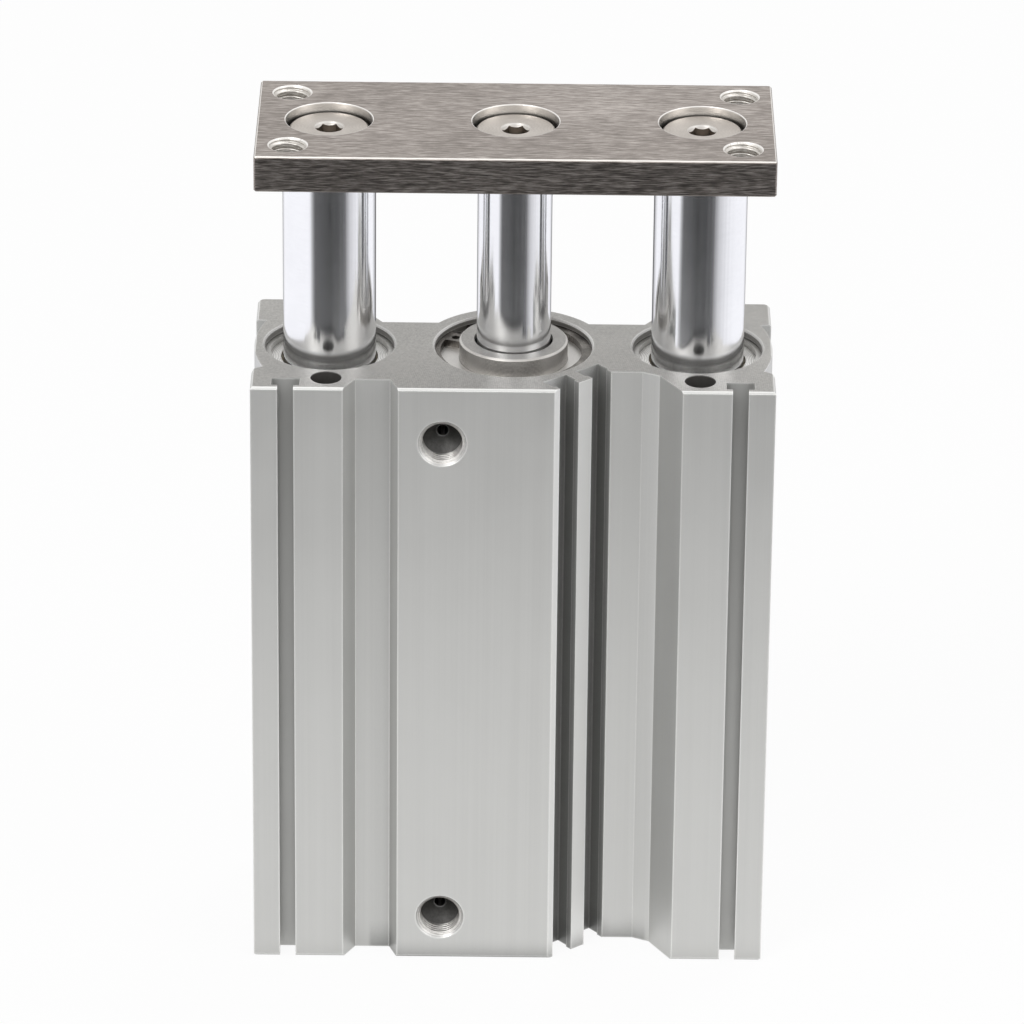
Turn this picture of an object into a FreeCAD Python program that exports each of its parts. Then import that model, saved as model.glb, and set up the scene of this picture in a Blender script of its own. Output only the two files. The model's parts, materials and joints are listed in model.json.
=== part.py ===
import FreeCAD, Part
import math
import os
import re
import Sketcher

# Guided pneumatic cylinder: 32 mm bore, 100 mm stroke, two 20 mm guide rods.
# Millimetres. Origin in the middle of the body's head end face, +Z along the stroke,
# +X across the guide rods, -Y out of the face that has the air ports.

doc = FreeCAD.newDocument("guided_cylinder")
sheet = doc.addObject("Spreadsheet::Sheet", "Sizes")

# Sizes that can be set by themselves: name, value, meaning.
driving = [
    ("stroke", 100, "travel of the plate"),
    ("bore", 32, "cylinder bore"),
    ("rod_dia", 16, "piston rod"),
    ("guide_dia", 20, "guide rods"),
    ("guide_side", 16.3, "guide rod's axis from the body's side"),
    ("rod_overhang", 34, "guide rods past the head end when retracted, none as drawn"),
    ("body_width", 112, "extrusion, along X"),
    ("body_depth", 48, "extrusion, along Y"),
    ("back_round", 1.5, "rounding of the two rear corners"),
    ("edge_break", 0.5, "bevel of the sawn ends"),
    ("bore_break", 0.4, "bevel at the mouths of the bores"),
    ("over", 1, "how far cuts run past a face"),
    # front face of the extrusion
    ("tee_side", 7.5, "middle of a T-slot from the body's side"),
    ("tee_mouth", 3.4, "mouth of a T-slot"),
    ("tee_inner", 6, "width inside a T-slot"),
    ("tee_lip", 1.5, "lip of a T-slot"),
    ("tee_depth", 4.9, "whole depth of a T-slot"),
    ("pad_edge", 24.45, "left edge of the port face"),
    ("left_depth", 4.9, "depth of the left recess"),
    ("left_draft", 2.6, "lean of the left recess's outer wall"),
    ("pad_draft", 1.75, "lean of its wall beside the port face"),
    ("left_lobe", 3.4, "inner edge of the left lobe from its guide rod"),
    ("right_depth", 10.2, "depth of the right recess"),
    ("right_bend", 12, "where the right recess starts to rise, from its guide rod"),
    ("right_foot", 8.35, "foot of the right lobe from its guide rod"),
    ("right_rise", 1.8, "rise of the right recess up to that foot"),
    ("right_lobe", 3.5, "inner edge of the right lobe from its guide rod"),
    # slanted flat with the two sensor slots
    ("flat_angle", 40, "turn of the flat from the front, degrees"),
    ("flat_reach", 24.1, "flat from the bore axis"),
    ("sensor_offset", 4.5, "each sensor slot from the middle of the flat"),
    ("sensor_mouth", 5.3, "mouth of a sensor slot"),
    ("sensor_inner", 6.3, "width inside a sensor slot"),
    ("sensor_lip", 1.6, "lip of a sensor slot"),
    ("sensor_depth", 5, "whole depth of a sensor slot"),
    # sides and back of the extrusion
    ("notch_depth", 2.3, "depth of the side notches"),
    ("notch_front", 12.9, "front notch from the middle"),
    ("notch_rear", 12, "rear notch from the middle"),
    ("notch_slope", 0.5, "lean of the rear notch's outer wall"),
    ("block_round", 3, "rounding of the front block at the notch"),
    ("boss_drop", 0.1, "side boss below the outer face"),
    ("web_level", 11.6, "back of the two webs from the middle"),
    ("web_end", 11.2, "outer end of the webs from the guide rod"),
    ("flank_run", 1.3, "short slope at the web's end, across"),
    ("flank_rise", 2, "short slope at the web's end, outwards"),
    ("rear_lobe", 3.5, "inner edge of the rear lobes from the guide rod"),
    ("barrel_wall", 4, "wall behind the bore"),
    # openings of the middle bore and what closes them
    ("opening_step", 1, "mouth of the middle bore wider than the bore, radial"),
    ("ring_seat", 3, "outer face of each cover below the body's end"),
    ("ring_thick", 1.5, "retaining rings of the covers"),
    ("ring_bite", 0.9, "depth of a ring groove in the wall"),
    ("ring_play", 0.1, "groove wider than its ring"),
    ("head_flange", 2.5, "flange of the head cover"),
    ("cover_flange", 4, "flange of the rod cover"),
    ("cover_land", 1, "rod cover's land above its gasket"),
    ("head_land", 0.6, "land on each side of the head cover's gasket"),
    ("head_boss", 2.2, "boss of the head cover past its land"),
    ("relief", 2.5, "air space round the bosses of the covers"),
    ("relief_reach", 2.4, "length of the rod cover's boss"),
    ("gasket_tall", 2, "height of the gaskets"),
    ("gasket_deep", 1.9, "depth of a gasket groove"),
    ("gasket_bevel", 0.5, "rounding of the gasket section"),
    ("groove_play", 0.1, "grooves taller than what they hold"),
    ("nose_wall", 3.7, "nose of the rod cover outside the rod, radial"),
    ("nose_tall", 4.5, "nose above the flange"),
    ("nose_lip", 1.1, "top wall of the nose over the seal"),
    ("nose_gap", 0.5, "mouth of the nose round the rod, radial"),
    ("nose_bevel", 0.4, "bevel of the nose"),
    ("seal_wide", 2.2, "groove of the rod seal outside the rod, radial"),
    ("seal_tall", 3.6, "height of the rod seal"),
    ("seal_lip", 0.5, "thickness of the seal lips"),
    ("bush_wall", 2, "wall of the rod bush"),
    ("bush_long", 9, "length of the rod bush"),
    ("fit_gap", 0.05, "radial gap of pieces that sit in a bore"),
    ("run_gap", 0.03, "radial gap of the bushes on their rods"),
    ("lip_gap", 0.05, "radial gap of seals and felts on what slides"),
    ("stop_gap", 0.3, "bumper to cover at each end of the travel"),
    # guide bores
    ("guide_wall", 2.5, "room for a guide bush round its rod"),
    ("guide_step", 1.5, "mouth of a guide bore wider than the bore, radial"),
    ("guide_bush_long", 22, "length of a guide bush"),
    ("guide_bush_inset", 2, "lower guide bush from the head end"),
    ("guide_ring_thick", 1.2, "retaining rings of the guides"),
    ("guide_ring_bite", 0.7, "depth of their grooves"),
    ("holder_tall", 7.5, "height of a felt holder"),
    ("holder_lid", 1.5, "lid of a felt holder"),
    ("holder_wall", 1, "wall of a felt holder"),
    ("holder_gap", 0.5, "holder's lid round the guide rod"),
    # ports and mounting holes
    ("port_x", 15, "ports to the left of the middle"),
    ("port_top", 12.8, "rod side port below the body's top"),
    ("port_head", 10.2, "head side port above the head end"),
    ("port_dia", 9.7, "pipe thread of a port, at its roots"),
    ("port_mouth", 10.6, "countersink of a port"),
    ("port_deep", 5.1, "tapped depth of a port"),
    ("drill_point", 59, "half the angle of a drill's point, degrees"),
    ("pilot_dia", 2.5, "air hole behind a port"),
    ("pilot_end", 4, "end of the air hole from the middle plane"),
    ("base_side", 16.05, "lengthwise holes from the body's sides"),
    ("base_edge", 5.5, "lengthwise holes from the front and the back"),
    ("base_through", 6.7, "lengthwise holes, rod end to head end"),
    ("base_tap_deep", 20, "their tapped part at the head end"),
    ("tap_dia", 8, "thread of every tapped hole, at its roots"),
    ("tap_mouth", 8.5, "bevel of every tapped hole"),
    ("back_side", 8, "rear tapped holes from the body's side"),
    ("back_pitch_z", 48, "rear tapped holes along the stroke"),
    ("back_first", 21, "first rear hole below the body's top"),
    ("back_deep", 10, "depth of the rear holes"),
    # plate
    ("plate_gap", 10, "plate above the body when retracted"),
    ("plate_width", 110, "plate along X"),
    ("plate_depth", 44, "plate along Y"),
    ("plate_thick", 8, "plate along Z"),
    ("plate_round", 0.5, "upright corners of the plate"),
    ("plate_break", 0.4, "bevel of the plate's edges"),
    ("plate_hole_edge", 7, "tapped holes of the plate from its edges"),
    ("pocket_dia", 18.6, "pocket of a plate screw"),
    ("pocket_deep", 5, "depth of that pocket"),
    ("pocket_break", 0.15, "bevel of its rim"),
    ("screw_head", 17, "head of a plate screw"),
    ("head_sunk", 1.8, "screw head below the plate"),
    ("screw_dia", 8, "thread of a plate screw"),
    ("screw_reach", 12, "plate screw inside its rod"),
    ("screw_hex", 5, "hexagon socket across flats"),
    ("hex_deep", 2.4, "depth of the hexagon socket"),
    ("hex_mouth", 0.35, "countersink of a hexagon socket past its corners"),
    ("hex_sink", 0.8, "depth of that countersink"),
    ("screw_bevel", 0.4, "bevel of a screw head"),
    ("thread_gap", 0.05, "radial gap round a screw"),
    ("hole_spare", 2, "tapped holes deeper than their screws"),
    ("rod_bevel", 0.8, "bevel at the rods' ends"),
    # piston
    ("piston_gap", 0.08, "piston in its bore, radial"),
    ("piston_land", 0.8, "outer lands of the piston"),
    ("piston_rib", 0.7, "ribs between its grooves"),
    ("lip_wide", 3, "piston seal"),
    ("lip_deep", 2.6, "groove of the piston seal"),
    ("magnet_wide", 2.4, "magnet ring"),
    ("magnet_deep", 2.2, "groove of the magnet"),
    ("magnet_sunk", 0.4, "magnet below the piston's surface"),
    ("wear_wide", 1.6, "wear ring"),
    ("wear_deep", 1, "groove of the wear ring"),
    ("bumper_gap", 1.3, "bumpers round the rod, radial"),
    ("bumper_side", 3.5, "bumpers inside the bore, radial"),
    ("bumper_sunk", 1, "bumpers inside the piston's faces"),
    ("bumper_proud", 1.2, "bumpers proud of the piston's faces"),
    ("spigot_step", 3, "shoulder of the rod on the piston"),
    ("piston_screw_head", 12, "head of the piston screw"),
    ("piston_head_tall", 3, "height of that head"),
    ("piston_recess", 3.2, "recess for that head"),
    ("piston_screw_dia", 6, "thread of the piston screw"),
    ("piston_screw_reach", 10, "piston screw inside the rod"),
    ("piston_hex", 4, "its hexagon socket across flats"),
    ("piston_hex_deep", 2, "depth of its socket"),
    # retaining rings, seen from above, the gap on the ring's own +X
    ("ring_gap_half", 9, "half of the gap, degrees"),
    ("ring_lug", 15, "each lug, degrees"),
    ("ring_back", 3.2, "width opposite the gap"),
    ("ring_neck", 1.9, "width beside the lugs"),
    ("ring_lug_wide", 5.3, "width at the lugs"),
    ("ring_hole", 1.8, "holes in the lugs"),
    ("ring_hole_in", 3.5, "those holes from the ring's edge"),
    ("guide_ring_back", 2.4, "the same widths on the guide rings"),
    ("guide_ring_neck", 1.6, "beside the lugs"),
    ("guide_ring_lug_wide", 3.7, "at the lugs"),
    ("guide_ring_hole", 1.4, "holes in their lugs"),
    ("guide_ring_hole_in", 2.4, "those holes from the ring's edge"),
    ("rod_ring_turn", 134, "gap of the rod cover's ring from +X, degrees"),
    ("head_ring_turn", 90, "gap of the head cover's ring"),
    ("guide_ring_turn", 90, "gap of the guide rings"),
]

# Sizes that follow from those.
following = [
    ("half_width", "body_width / 2"),
    ("guide_pitch", "body_width - 2 * guide_side"),
    ("guide_x", "guide_pitch / 2"),
    ("front", "body_depth / 2"),
    ("opening", "bore + 2 * opening_step"),
    ("nose_dia", "rod_dia + 2 * nose_wall"),
    ("nose_mouth", "rod_dia + 2 * nose_gap"),
    ("seal_groove", "rod_dia + 2 * seal_wide"),
    ("guide_bore", "guide_dia + 2 * guide_wall"),
    ("guide_opening", "guide_bore + 2 * guide_step"),
    ("bumper_inner", "rod_dia + 2 * bumper_gap"),
    ("bumper_outer", "bore - 2 * bumper_side"),
    ("spigot_dia", "rod_dia - 2 * spigot_step"),
    ("groove_tall", "gasket_tall + groove_play"),
    ("head_shoulder", "ring_seat + head_flange"),
    ("head_top", "head_shoulder + 2 * head_land + groove_tall + head_boss"),
    ("cover_reach", "cover_flange + 2 * cover_land + groove_tall + relief_reach"),
    ("piston_long", "2 * piston_land + 2 * piston_rib + lip_wide + magnet_wide + wear_wide"),
    ("retracted", "head_top + stop_gap + bumper_proud"),
    ("travel_end", "retracted + stroke + piston_long + bumper_proud + stop_gap"),
    ("body_long", "travel_end + cover_reach + ring_seat"),
    ("cover_level", "body_long - ring_seat"),
    ("rod_shoulder", "cover_level - cover_flange"),
    ("felt_level", "cover_level - holder_tall"),
    ("piston_level", "retracted + rod_overhang"),
    ("plate_level", "body_long + plate_gap + rod_overhang"),
    ("rod_long", "body_long + plate_gap - retracted - piston_long"),
    ("guide_long", "plate_level"),
    ("spigot_long", "piston_long - piston_recess - groove_play"),
    ("head_tall", "pocket_deep - head_sunk"),
    ("floor_thick", "plate_thick - pocket_deep"),
    ("flat_sin", "sin(flat_angle * 1 deg)"),
    ("flat_cos", "cos(flat_angle * 1 deg)"),
    ("port_point", "(port_dia - pilot_dia) / 2 / tan(drill_point * 1 deg)"),
    ("boss_rise", "notch_depth - boss_drop"),
    ("boss_half", "(notch_front + notch_rear) / 2"),
    ("boss_round", "(boss_half ^ 2 + boss_rise ^ 2) / (2 * boss_rise)"),
    ("barrel", "bore / 2 + barrel_wall"),
    ("right_floor", "front - right_depth"),
    ("left_floor", "front - left_depth"),
]


def fill_sheet():
    for row, (name, value, meaning) in enumerate(driving, 1):
        sheet.set(f"A{row}", meaning)
        sheet.set(f"B{row}", str(value))
        sheet.setAlias(f"B{row}", name)
    for row, (name, formula) in enumerate(following, len(driving) + 1):
        sheet.set(f"B{row}", "=" + formula)
        sheet.setAlias(f"B{row}", name)
    doc.recompute()


fill_sheet()
size_name = re.compile(r"\b(" + "|".join(entry[0] for entry in driving + following) + r")\b")


def tied(text):
    # An expression in size names becomes one that reads the sheet.
    return size_name.sub(r"Sizes.\1", text)


def number(text):
    return float(sheet.evalExpression(tied(text)))


def add_body(name):
    body = doc.addObject("PartDesign::Body", name)
    body.Label = name
    return body


def place(body, x="0", z="0"):
    body.setExpression("Placement.Base.x", tied(x))
    body.setExpression("Placement.Base.z", tied(z))


def origin_plane(body, role):
    return next(item for item in body.Origin.OriginFeatures if item.Role == role)


def add_sketch(body, role, name, turn=None, **offset):
    sketch = body.newObject("Sketcher::SketchObject", name)
    sketch.AttachmentSupport = [(origin_plane(body, role), "")]
    sketch.MapMode = "FlatFace"
    if turn:
        upright = FreeCAD.Vector(0, 0, 1)
        sketch.AttachmentOffset = FreeCAD.Placement(
            FreeCAD.Vector(0, 0, 0), FreeCAD.Rotation(upright, number(turn)))
        sketch.setExpression("AttachmentOffset.Rotation.Angle", tied(turn))
    for axis, text in offset.items():
        sketch.setExpression("AttachmentOffset.Base." + axis, tied(text))
    return sketch


def bind(sketch, kind, places, text):
    index = sketch.addConstraint(Sketcher.Constraint(kind, *places, number(text)))
    sketch.setExpression(f"Constraints[{index}]", tied(text))


def arc_between(start, end, centre, way):
    first = math.atan2(start.y - centre.y, start.x - centre.x)
    last = math.atan2(end.y - centre.y, end.x - centre.x)
    if way == "right":
        first, last = last, first
    if last <= first:
        last += 2 * math.pi
    circle = Part.Circle(centre, FreeCAD.Vector(0, 0, 1), (start - centre).Length)
    return Part.ArcOfCircle(circle, first, last)


def outline(sketch, corners):
    # A closed outline. A corner is (x, y), or (x, y, centre x, centre y, way) where an arc
    # that turns left or right about that centre leads on to the next corner.
    spots = [FreeCAD.Vector(number(corner[0]), number(corner[1]), 0) for corner in corners]
    first = sketch.GeometryCount
    ends = []
    for index, corner in enumerate(corners):
        start = spots[index]
        end = spots[(index + 1) % len(spots)]
        if len(corner) == 2:
            sketch.addGeometry(Part.LineSegment(start, end))
            ends.append((1, 2))
        else:
            centre = FreeCAD.Vector(number(corner[2]), number(corner[3]), 0)
            sketch.addGeometry(arc_between(start, end, centre, corner[4]))
            ends.append((1, 2) if corner[4] == "left" else (2, 1))
    for index, corner in enumerate(corners):
        after = (index + 1) % len(corners)
        edge = first + index
        sketch.addConstraint(Sketcher.Constraint(
            "Coincident", edge, ends[index][1], first + after, ends[after][0]))
        bind(sketch, "DistanceX", (-1, 1, edge, ends[index][0]), corner[0])
        bind(sketch, "DistanceY", (-1, 1, edge, ends[index][0]), corner[1])
        if len(corner) > 2:
            reach = f"sqrt(({corner[0]} - ({corner[2]})) ^ 2 + ({corner[1]} - ({corner[3]})) ^ 2)"
            bind(sketch, "Radius", (edge,), reach)


def circle(sketch, x, y, diameter):
    centre = FreeCAD.Vector(number(x), number(y), 0)
    edge = sketch.addGeometry(Part.Circle(centre, FreeCAD.Vector(0, 0, 1), number(diameter) / 2))
    bind(sketch, "DistanceX", (-1, 1, edge, 3), x)
    bind(sketch, "DistanceY", (-1, 1, edge, 3), y)
    bind(sketch, "Diameter", (edge,), diameter)


def pad(body, sketch, length):
    feature = body.newObject("PartDesign::Pad", sketch.Name + "_pad")
    feature.Profile = sketch
    feature.setExpression("Length", tied(length))
    return feature


def pocket(body, sketch, depth=None, upwards=False):
    # With no depth it goes right through.
    feature = body.newObject("PartDesign::Pocket", sketch.Name + "_cut")
    feature.Profile = sketch
    feature.Reversed = upwards
    if depth:
        feature.setExpression("Length", tied(depth))
    else:
        feature.Type = "ThroughAll"
    return feature


def spin(body, sketch, kind):
    # A full turn about the sketch's upright axis: Revolution adds, Groove cuts.
    feature = body.newObject("PartDesign::" + kind, sketch.Name + "_turned")
    feature.Profile = sketch
    feature.ReferenceAxis = (sketch, ["V_Axis"])
    feature.Angle = 360
    return feature


def mirror(body, feature, plane):
    copy = body.newObject("PartDesign::Mirrored", feature.Name + "_mirror")
    copy.Originals = [feature]
    copy.MirrorPlane = plane
    body.Tip = copy
    return copy


def bevel(body, feature, edges, size):
    cut = body.newObject("PartDesign::Chamfer", feature.Name + "_bevel")
    cut.Base = (feature, edges)
    cut.setExpression("Size", tied(size))
    body.Tip = cut
    return cut


def level_edges(feature):
    # The edges that lie flat, at the top and bottom of a pad.
    doc.recompute()
    return [f"Edge{index}" for index, edge in enumerate(feature.Shape.Edges, 1)
            if edge.BoundBox.ZLength < 1e-6]


def turned_piece(name, section, x="0", z="0"):
    # A turned piece: its section is a list of (radius, height) corners.
    body = add_body(name)
    sketch = add_sketch(body, "XZ_Plane", name + "_section")
    outline(sketch, section)
    spin(body, sketch, "Revolution")
    place(body, x, z)
    return body


def ring_section(inner, outer, tall, corner=None):
    # A ring's section, square or with its four corners taken off.
    if corner is None:
        return [(inner, "0"), (outer, "0"), (outer, tall), (inner, tall)]
    return [
        (f"{inner} + {corner}", "0"), (f"{outer} - {corner}", "0"),
        (outer, corner), (outer, f"{tall} - {corner}"),
        (f"{outer} - {corner}", tall), (f"{inner} + {corner}", tall),
        (inner, f"{tall} - {corner}"), (inner, corner),
    ]


def tapped_hole(body, name, role, radius, depth, **offset):
    # A drilled hole with a bevelled mouth, its mouth on the sketch's own level 0, downwards.
    sketch = add_sketch(body, role, name, **offset)
    outline(sketch, [
        ("0", "over"), ("tap_mouth / 2", "over"), ("tap_mouth / 2", "0"),
        (radius, f"{radius} - tap_mouth / 2"), (radius, f"-{depth}"), ("0", f"-{depth}"),
    ])
    return spin(body, sketch, "Groove")


# The body: one extrusion, cut along its whole length, then bored.

def extrusion_blank(body):
    sketch = add_sketch(body, "XY_Plane", "blank")
    outline(sketch, [
        ("-half_width", "-front"), ("half_width", "-front"),
        ("half_width", "front - back_round", "half_width - back_round", "front - back_round", "left"),
        ("half_width - back_round", "front"),
        ("back_round - half_width", "front", "back_round - half_width", "front - back_round", "left"),
        ("-half_width", "front - back_round"),
    ])
    blank = pad(body, sketch, "body_long")
    bevel(body, blank, level_edges(blank), "edge_break")


def cut_along(body, name, corners, turn=None):
    sketch = add_sketch(body, "XY_Plane", name, turn)
    outline(sketch, corners)
    return pocket(body, sketch, upwards=True), sketch


def tee_corners(middle, face, mouth, inner, lip, depth):
    # A T-shaped slot that opens towards -Y at y = -face.
    left, right = f"{middle} - {mouth} / 2", f"{middle} + {mouth} / 2"
    far_left, far_right = f"{middle} - {inner} / 2", f"{middle} + {inner} / 2"
    return [
        (left, f"-{face} - over"), (right, f"-{face} - over"), (right, f"{lip} - {face}"),
        (far_right, f"{lip} - {face}"), (far_right, f"{depth} - {face}"),
        (far_left, f"{depth} - {face}"), (far_left, f"{lip} - {face}"), (left, f"{lip} - {face}"),
    ]


def front_recesses(body):
    cut_along(body, "left_recess", [
        ("left_lobe - guide_x", "-front - over"), ("left_lobe - guide_x", "-front"),
        ("left_lobe + left_draft - guide_x", "-left_floor"), ("-pad_edge - pad_draft", "-left_floor"),
        ("-pad_edge", "-front"), ("-pad_edge", "-front - over"),
    ])
    flat_start = "(flat_reach - front * flat_cos) / flat_sin"
    flat_end = "(flat_reach - right_floor * flat_cos) / flat_sin"
    cut_along(body, "right_recess", [
        (flat_start, "-front - over"), (flat_start, "-front"), (flat_end, "-right_floor"),
        ("guide_x - right_bend", "-right_floor"), ("guide_x - right_foot", "-right_floor - right_rise"),
        ("guide_x - right_lobe", "-front"), ("guide_x - right_lobe", "-front - over"),
    ])


def long_slots(body):
    tee, _ = cut_along(body, "tee_slot", tee_corners(
        "half_width - tee_side", "front", "tee_mouth", "tee_inner", "tee_lip", "tee_depth"))
    mirror(body, tee, (origin_plane(body, "YZ_Plane"), [""]))
    sensor, sketch = cut_along(body, "sensor_slot", tee_corners(
        "sensor_offset", "flat_reach", "sensor_mouth", "sensor_inner", "sensor_lip", "sensor_depth"),
        "flat_angle")
    mirror(body, sensor, (sketch, ["V_Axis"]))


def side_notches(body):
    # Between the front and rear blocks each side is a shallow arc with a notch at either end.
    apex = "half_width - notch_depth"
    notch, _ = cut_along(body, "side_notch", [
        ("half_width + over", "-notch_front - block_round"),
        ("half_width", "-notch_front - block_round",
         "half_width - block_round", "-notch_front - block_round", "left"),
        ("half_width - block_round * 0.5", "-notch_front - block_round * (1 - sqrt(0.75))"),
        (apex, "-notch_front",
         "half_width - boss_drop - boss_round", "(notch_rear - notch_front) / 2", "left"),
        (apex, "notch_rear"),
        ("half_width", "notch_rear + notch_slope"), ("half_width + over", "notch_rear + notch_slope"),
    ])
    mirror(body, notch, (origin_plane(body, "YZ_Plane"), [""]))


def back_recess(body):
    # Behind the bore the wall is a barrel, with a flat web and a lobe on either side.
    meet = "sqrt(barrel ^ 2 - web_level ^ 2)"
    lobe, web = "(guide_x - rear_lobe)", "(guide_x - web_end)"
    cut_along(body, "back_recess", [
        (lobe, "front + over"), (f"-{lobe}", "front + over"), (f"-{lobe}", "front"),
        (f"-{web} - flank_run", "web_level + flank_rise"), (f"-{web}", "web_level"),
        (f"-{meet}", "web_level", "0", "0", "right"), (meet, "web_level"),
        (web, "web_level"), (f"{web} + flank_run", "web_level + flank_rise"), (lobe, "front"),
    ])


def middle_bore(body):
    mouth, groove = "opening / 2", "opening / 2 + ring_bite"
    sketch = add_sketch(body, "XZ_Plane", "middle_bore")
    outline(sketch, [
        ("0", "-over"), (f"{mouth} + bore_break", "-over"), (f"{mouth} + bore_break", "0"),
        (mouth, "bore_break"), (mouth, "ring_seat - ring_thick - ring_play"),
        (groove, "ring_seat - ring_thick - ring_play"), (groove, "ring_seat"),
        (mouth, "ring_seat"), (mouth, "head_shoulder"), ("bore / 2", "head_shoulder"),
        ("bore / 2", "rod_shoulder"), (mouth, "rod_shoulder"), (mouth, "cover_level"),
        (groove, "cover_level"), (groove, "cover_level + ring_thick + ring_play"),
        (mouth, "cover_level + ring_thick + ring_play"), (mouth, "body_long - bore_break"),
        (f"{mouth} + bore_break", "body_long"), (f"{mouth} + bore_break", "body_long + over"),
        ("0", "body_long + over"),
    ])
    spin(body, sketch, "Groove")


def guide_bores(body):
    mouth, groove = "guide_opening / 2", "guide_opening / 2 + guide_ring_bite"
    narrow = "guide_bore / 2"
    sketch = add_sketch(body, "XZ_Plane", "guide_bore_section", x="guide_x")
    outline(sketch, [
        ("0", "-over"), (f"{narrow} + bore_break", "-over"), (f"{narrow} + bore_break", "0"),
        (narrow, "bore_break"), (narrow, "felt_level"), (mouth, "felt_level"), (mouth, "cover_level"),
        (groove, "cover_level"), (groove, "cover_level + guide_ring_thick + ring_play"),
        (mouth, "cover_level + guide_ring_thick + ring_play"), (mouth, "body_long - bore_break"),
        (f"{mouth} + bore_break", "body_long"), (f"{mouth} + bore_break", "body_long + over"),
        ("0", "body_long + over"),
    ])
    bored = spin(body, sketch, "Groove")
    mirror(body, bored, (origin_plane(body, "YZ_Plane"), [""]))


def air_ports(body):
    mouth, tapped = "port_mouth / 2", "port_dia / 2"
    for name, level in (("rod_port", "body_long - port_top"), ("head_port", "port_head")):
        sketch = add_sketch(body, "XY_Plane", name, x="-port_x", z=level)
        outline(sketch, [
            ("0", "-front - over"), (mouth, "-front - over"), (mouth, "-front"),
            (tapped, f"-front + {mouth} - {tapped}"), (tapped, "port_deep - front"),
            ("pilot_dia / 2", "port_deep + port_point - front"), ("pilot_dia / 2", "-pilot_end"),
            ("0", "-pilot_end"),
        ])
        spin(body, sketch, "Groove")


def body_holes(body):
    # Four lengthwise holes, tapped at the head end, and four tapped holes in the back.
    sketch = add_sketch(body, "XY_Plane", "lengthwise_holes")
    for across in ("-", ""):
        for deep in ("-", ""):
            circle(sketch, f"{across}(half_width - base_side)", f"{deep}(front - base_edge)",
                   "base_through")
    pocket(body, sketch, upwards=True)
    mouths = add_sketch(body, "XZ_Plane", "head_end_tap",
                        x="half_width - base_side", z="base_edge - front")
    outline(mouths, [
        ("0", "-over"), ("tap_mouth / 2", "-over"), ("tap_mouth / 2", "0"),
        ("tap_dia / 2", "tap_mouth / 2 - tap_dia / 2"), ("tap_dia / 2", "base_tap_deep"),
        ("0", "base_tap_deep"),
    ])
    rear = spin(body, mouths, "Groove")
    corners = body.newObject("PartDesign::MultiTransform", "head_end_taps")
    corners.Originals = [rear]
    steps = []
    for role in ("YZ_Plane", "XZ_Plane"):
        step = body.newObject("PartDesign::Mirrored", "across_" + role)
        step.MirrorPlane = (origin_plane(body, role), [""])
        steps.append(step)
    corners.Transformations = steps
    body.Tip = corners
    for side in ("-", ""):
        for row in ("0", "back_pitch_z"):
            tapped_hole(body, "back_hole", "XY_Plane", "tap_dia / 2", "back_deep",
                        x=f"{side}(half_width - back_side)", y="front", z=f"body_long - back_first - {row}")


def cylinder_body():
    body = add_body("cylinder_body")
    extrusion_blank(body)
    front_recesses(body)
    long_slots(body)
    side_notches(body)
    back_recess(body)
    middle_bore(body)
    guide_bores(body)
    air_ports(body)
    body_holes(body)
    return body


# The two covers of the middle bore, with what they hold.

def rod_cover():
    flange, snug = "opening / 2 - fit_gap", "bore / 2 - fit_gap"
    boss = "bore / 2 - relief"
    gasket_floor = "bore / 2 - gasket_deep"
    groove_top = "-cover_flange - cover_land"
    nose = "nose_dia / 2"
    seat = "rod_dia / 2 + bush_wall"
    bush_top = "bush_long - cover_reach"
    return turned_piece("rod_cover", [
        (seat, "-cover_reach"), (boss, "-cover_reach"),
        (boss, f"{groove_top} - groove_tall - cover_land"),
        (snug, f"{groove_top} - groove_tall - cover_land"), (snug, f"{groove_top} - groove_tall"),
        (gasket_floor, f"{groove_top} - groove_tall"), (gasket_floor, groove_top), (snug, groove_top),
        (snug, "-cover_flange"), (flange, "-cover_flange"), (flange, "0"), (nose, "0"),
        (nose, "nose_tall - nose_bevel"), (f"{nose} - nose_bevel", "nose_tall"),
        ("nose_mouth / 2", "nose_tall"), ("nose_mouth / 2", "nose_tall - nose_lip"),
        ("seal_groove / 2", "nose_tall - nose_lip"),
        ("seal_groove / 2", "nose_tall - nose_lip - seal_tall - groove_play"),
        ("nose_mouth / 2", "nose_tall - nose_lip - seal_tall - groove_play"),
        ("nose_mouth / 2", bush_top), (seat, bush_top),
    ], z="cover_level")


def rod_bushing():
    return turned_piece("rod_bushing", ring_section(
        "rod_dia / 2 + run_gap", "rod_dia / 2 + bush_wall - fit_gap", "bush_long"),
        z="cover_level - cover_reach")


def rod_seal():
    # A cup seal: two lips that open downwards, towards the pressure, and a solid heel.
    inner, outer = "rod_dia / 2 + lip_gap", "seal_groove / 2 - fit_gap"
    return turned_piece("rod_seal", [
        (inner, "0"), (f"{inner} + seal_lip", "0"), (f"({inner} + {outer}) / 2", "seal_tall / 2"),
        (f"{outer} - seal_lip", "0"), (outer, "0"), (outer, "seal_tall"),
        (f"{inner} + seal_lip", "seal_tall"), (inner, "seal_tall / 2"),
    ], z="cover_level + nose_tall - nose_lip - seal_tall - groove_play / 2")


def gasket(name, level):
    return turned_piece(name, ring_section(
        "bore / 2 - gasket_deep + fit_gap", "bore / 2 - fit_gap", "gasket_tall", "gasket_bevel"),
        z=level)


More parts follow.
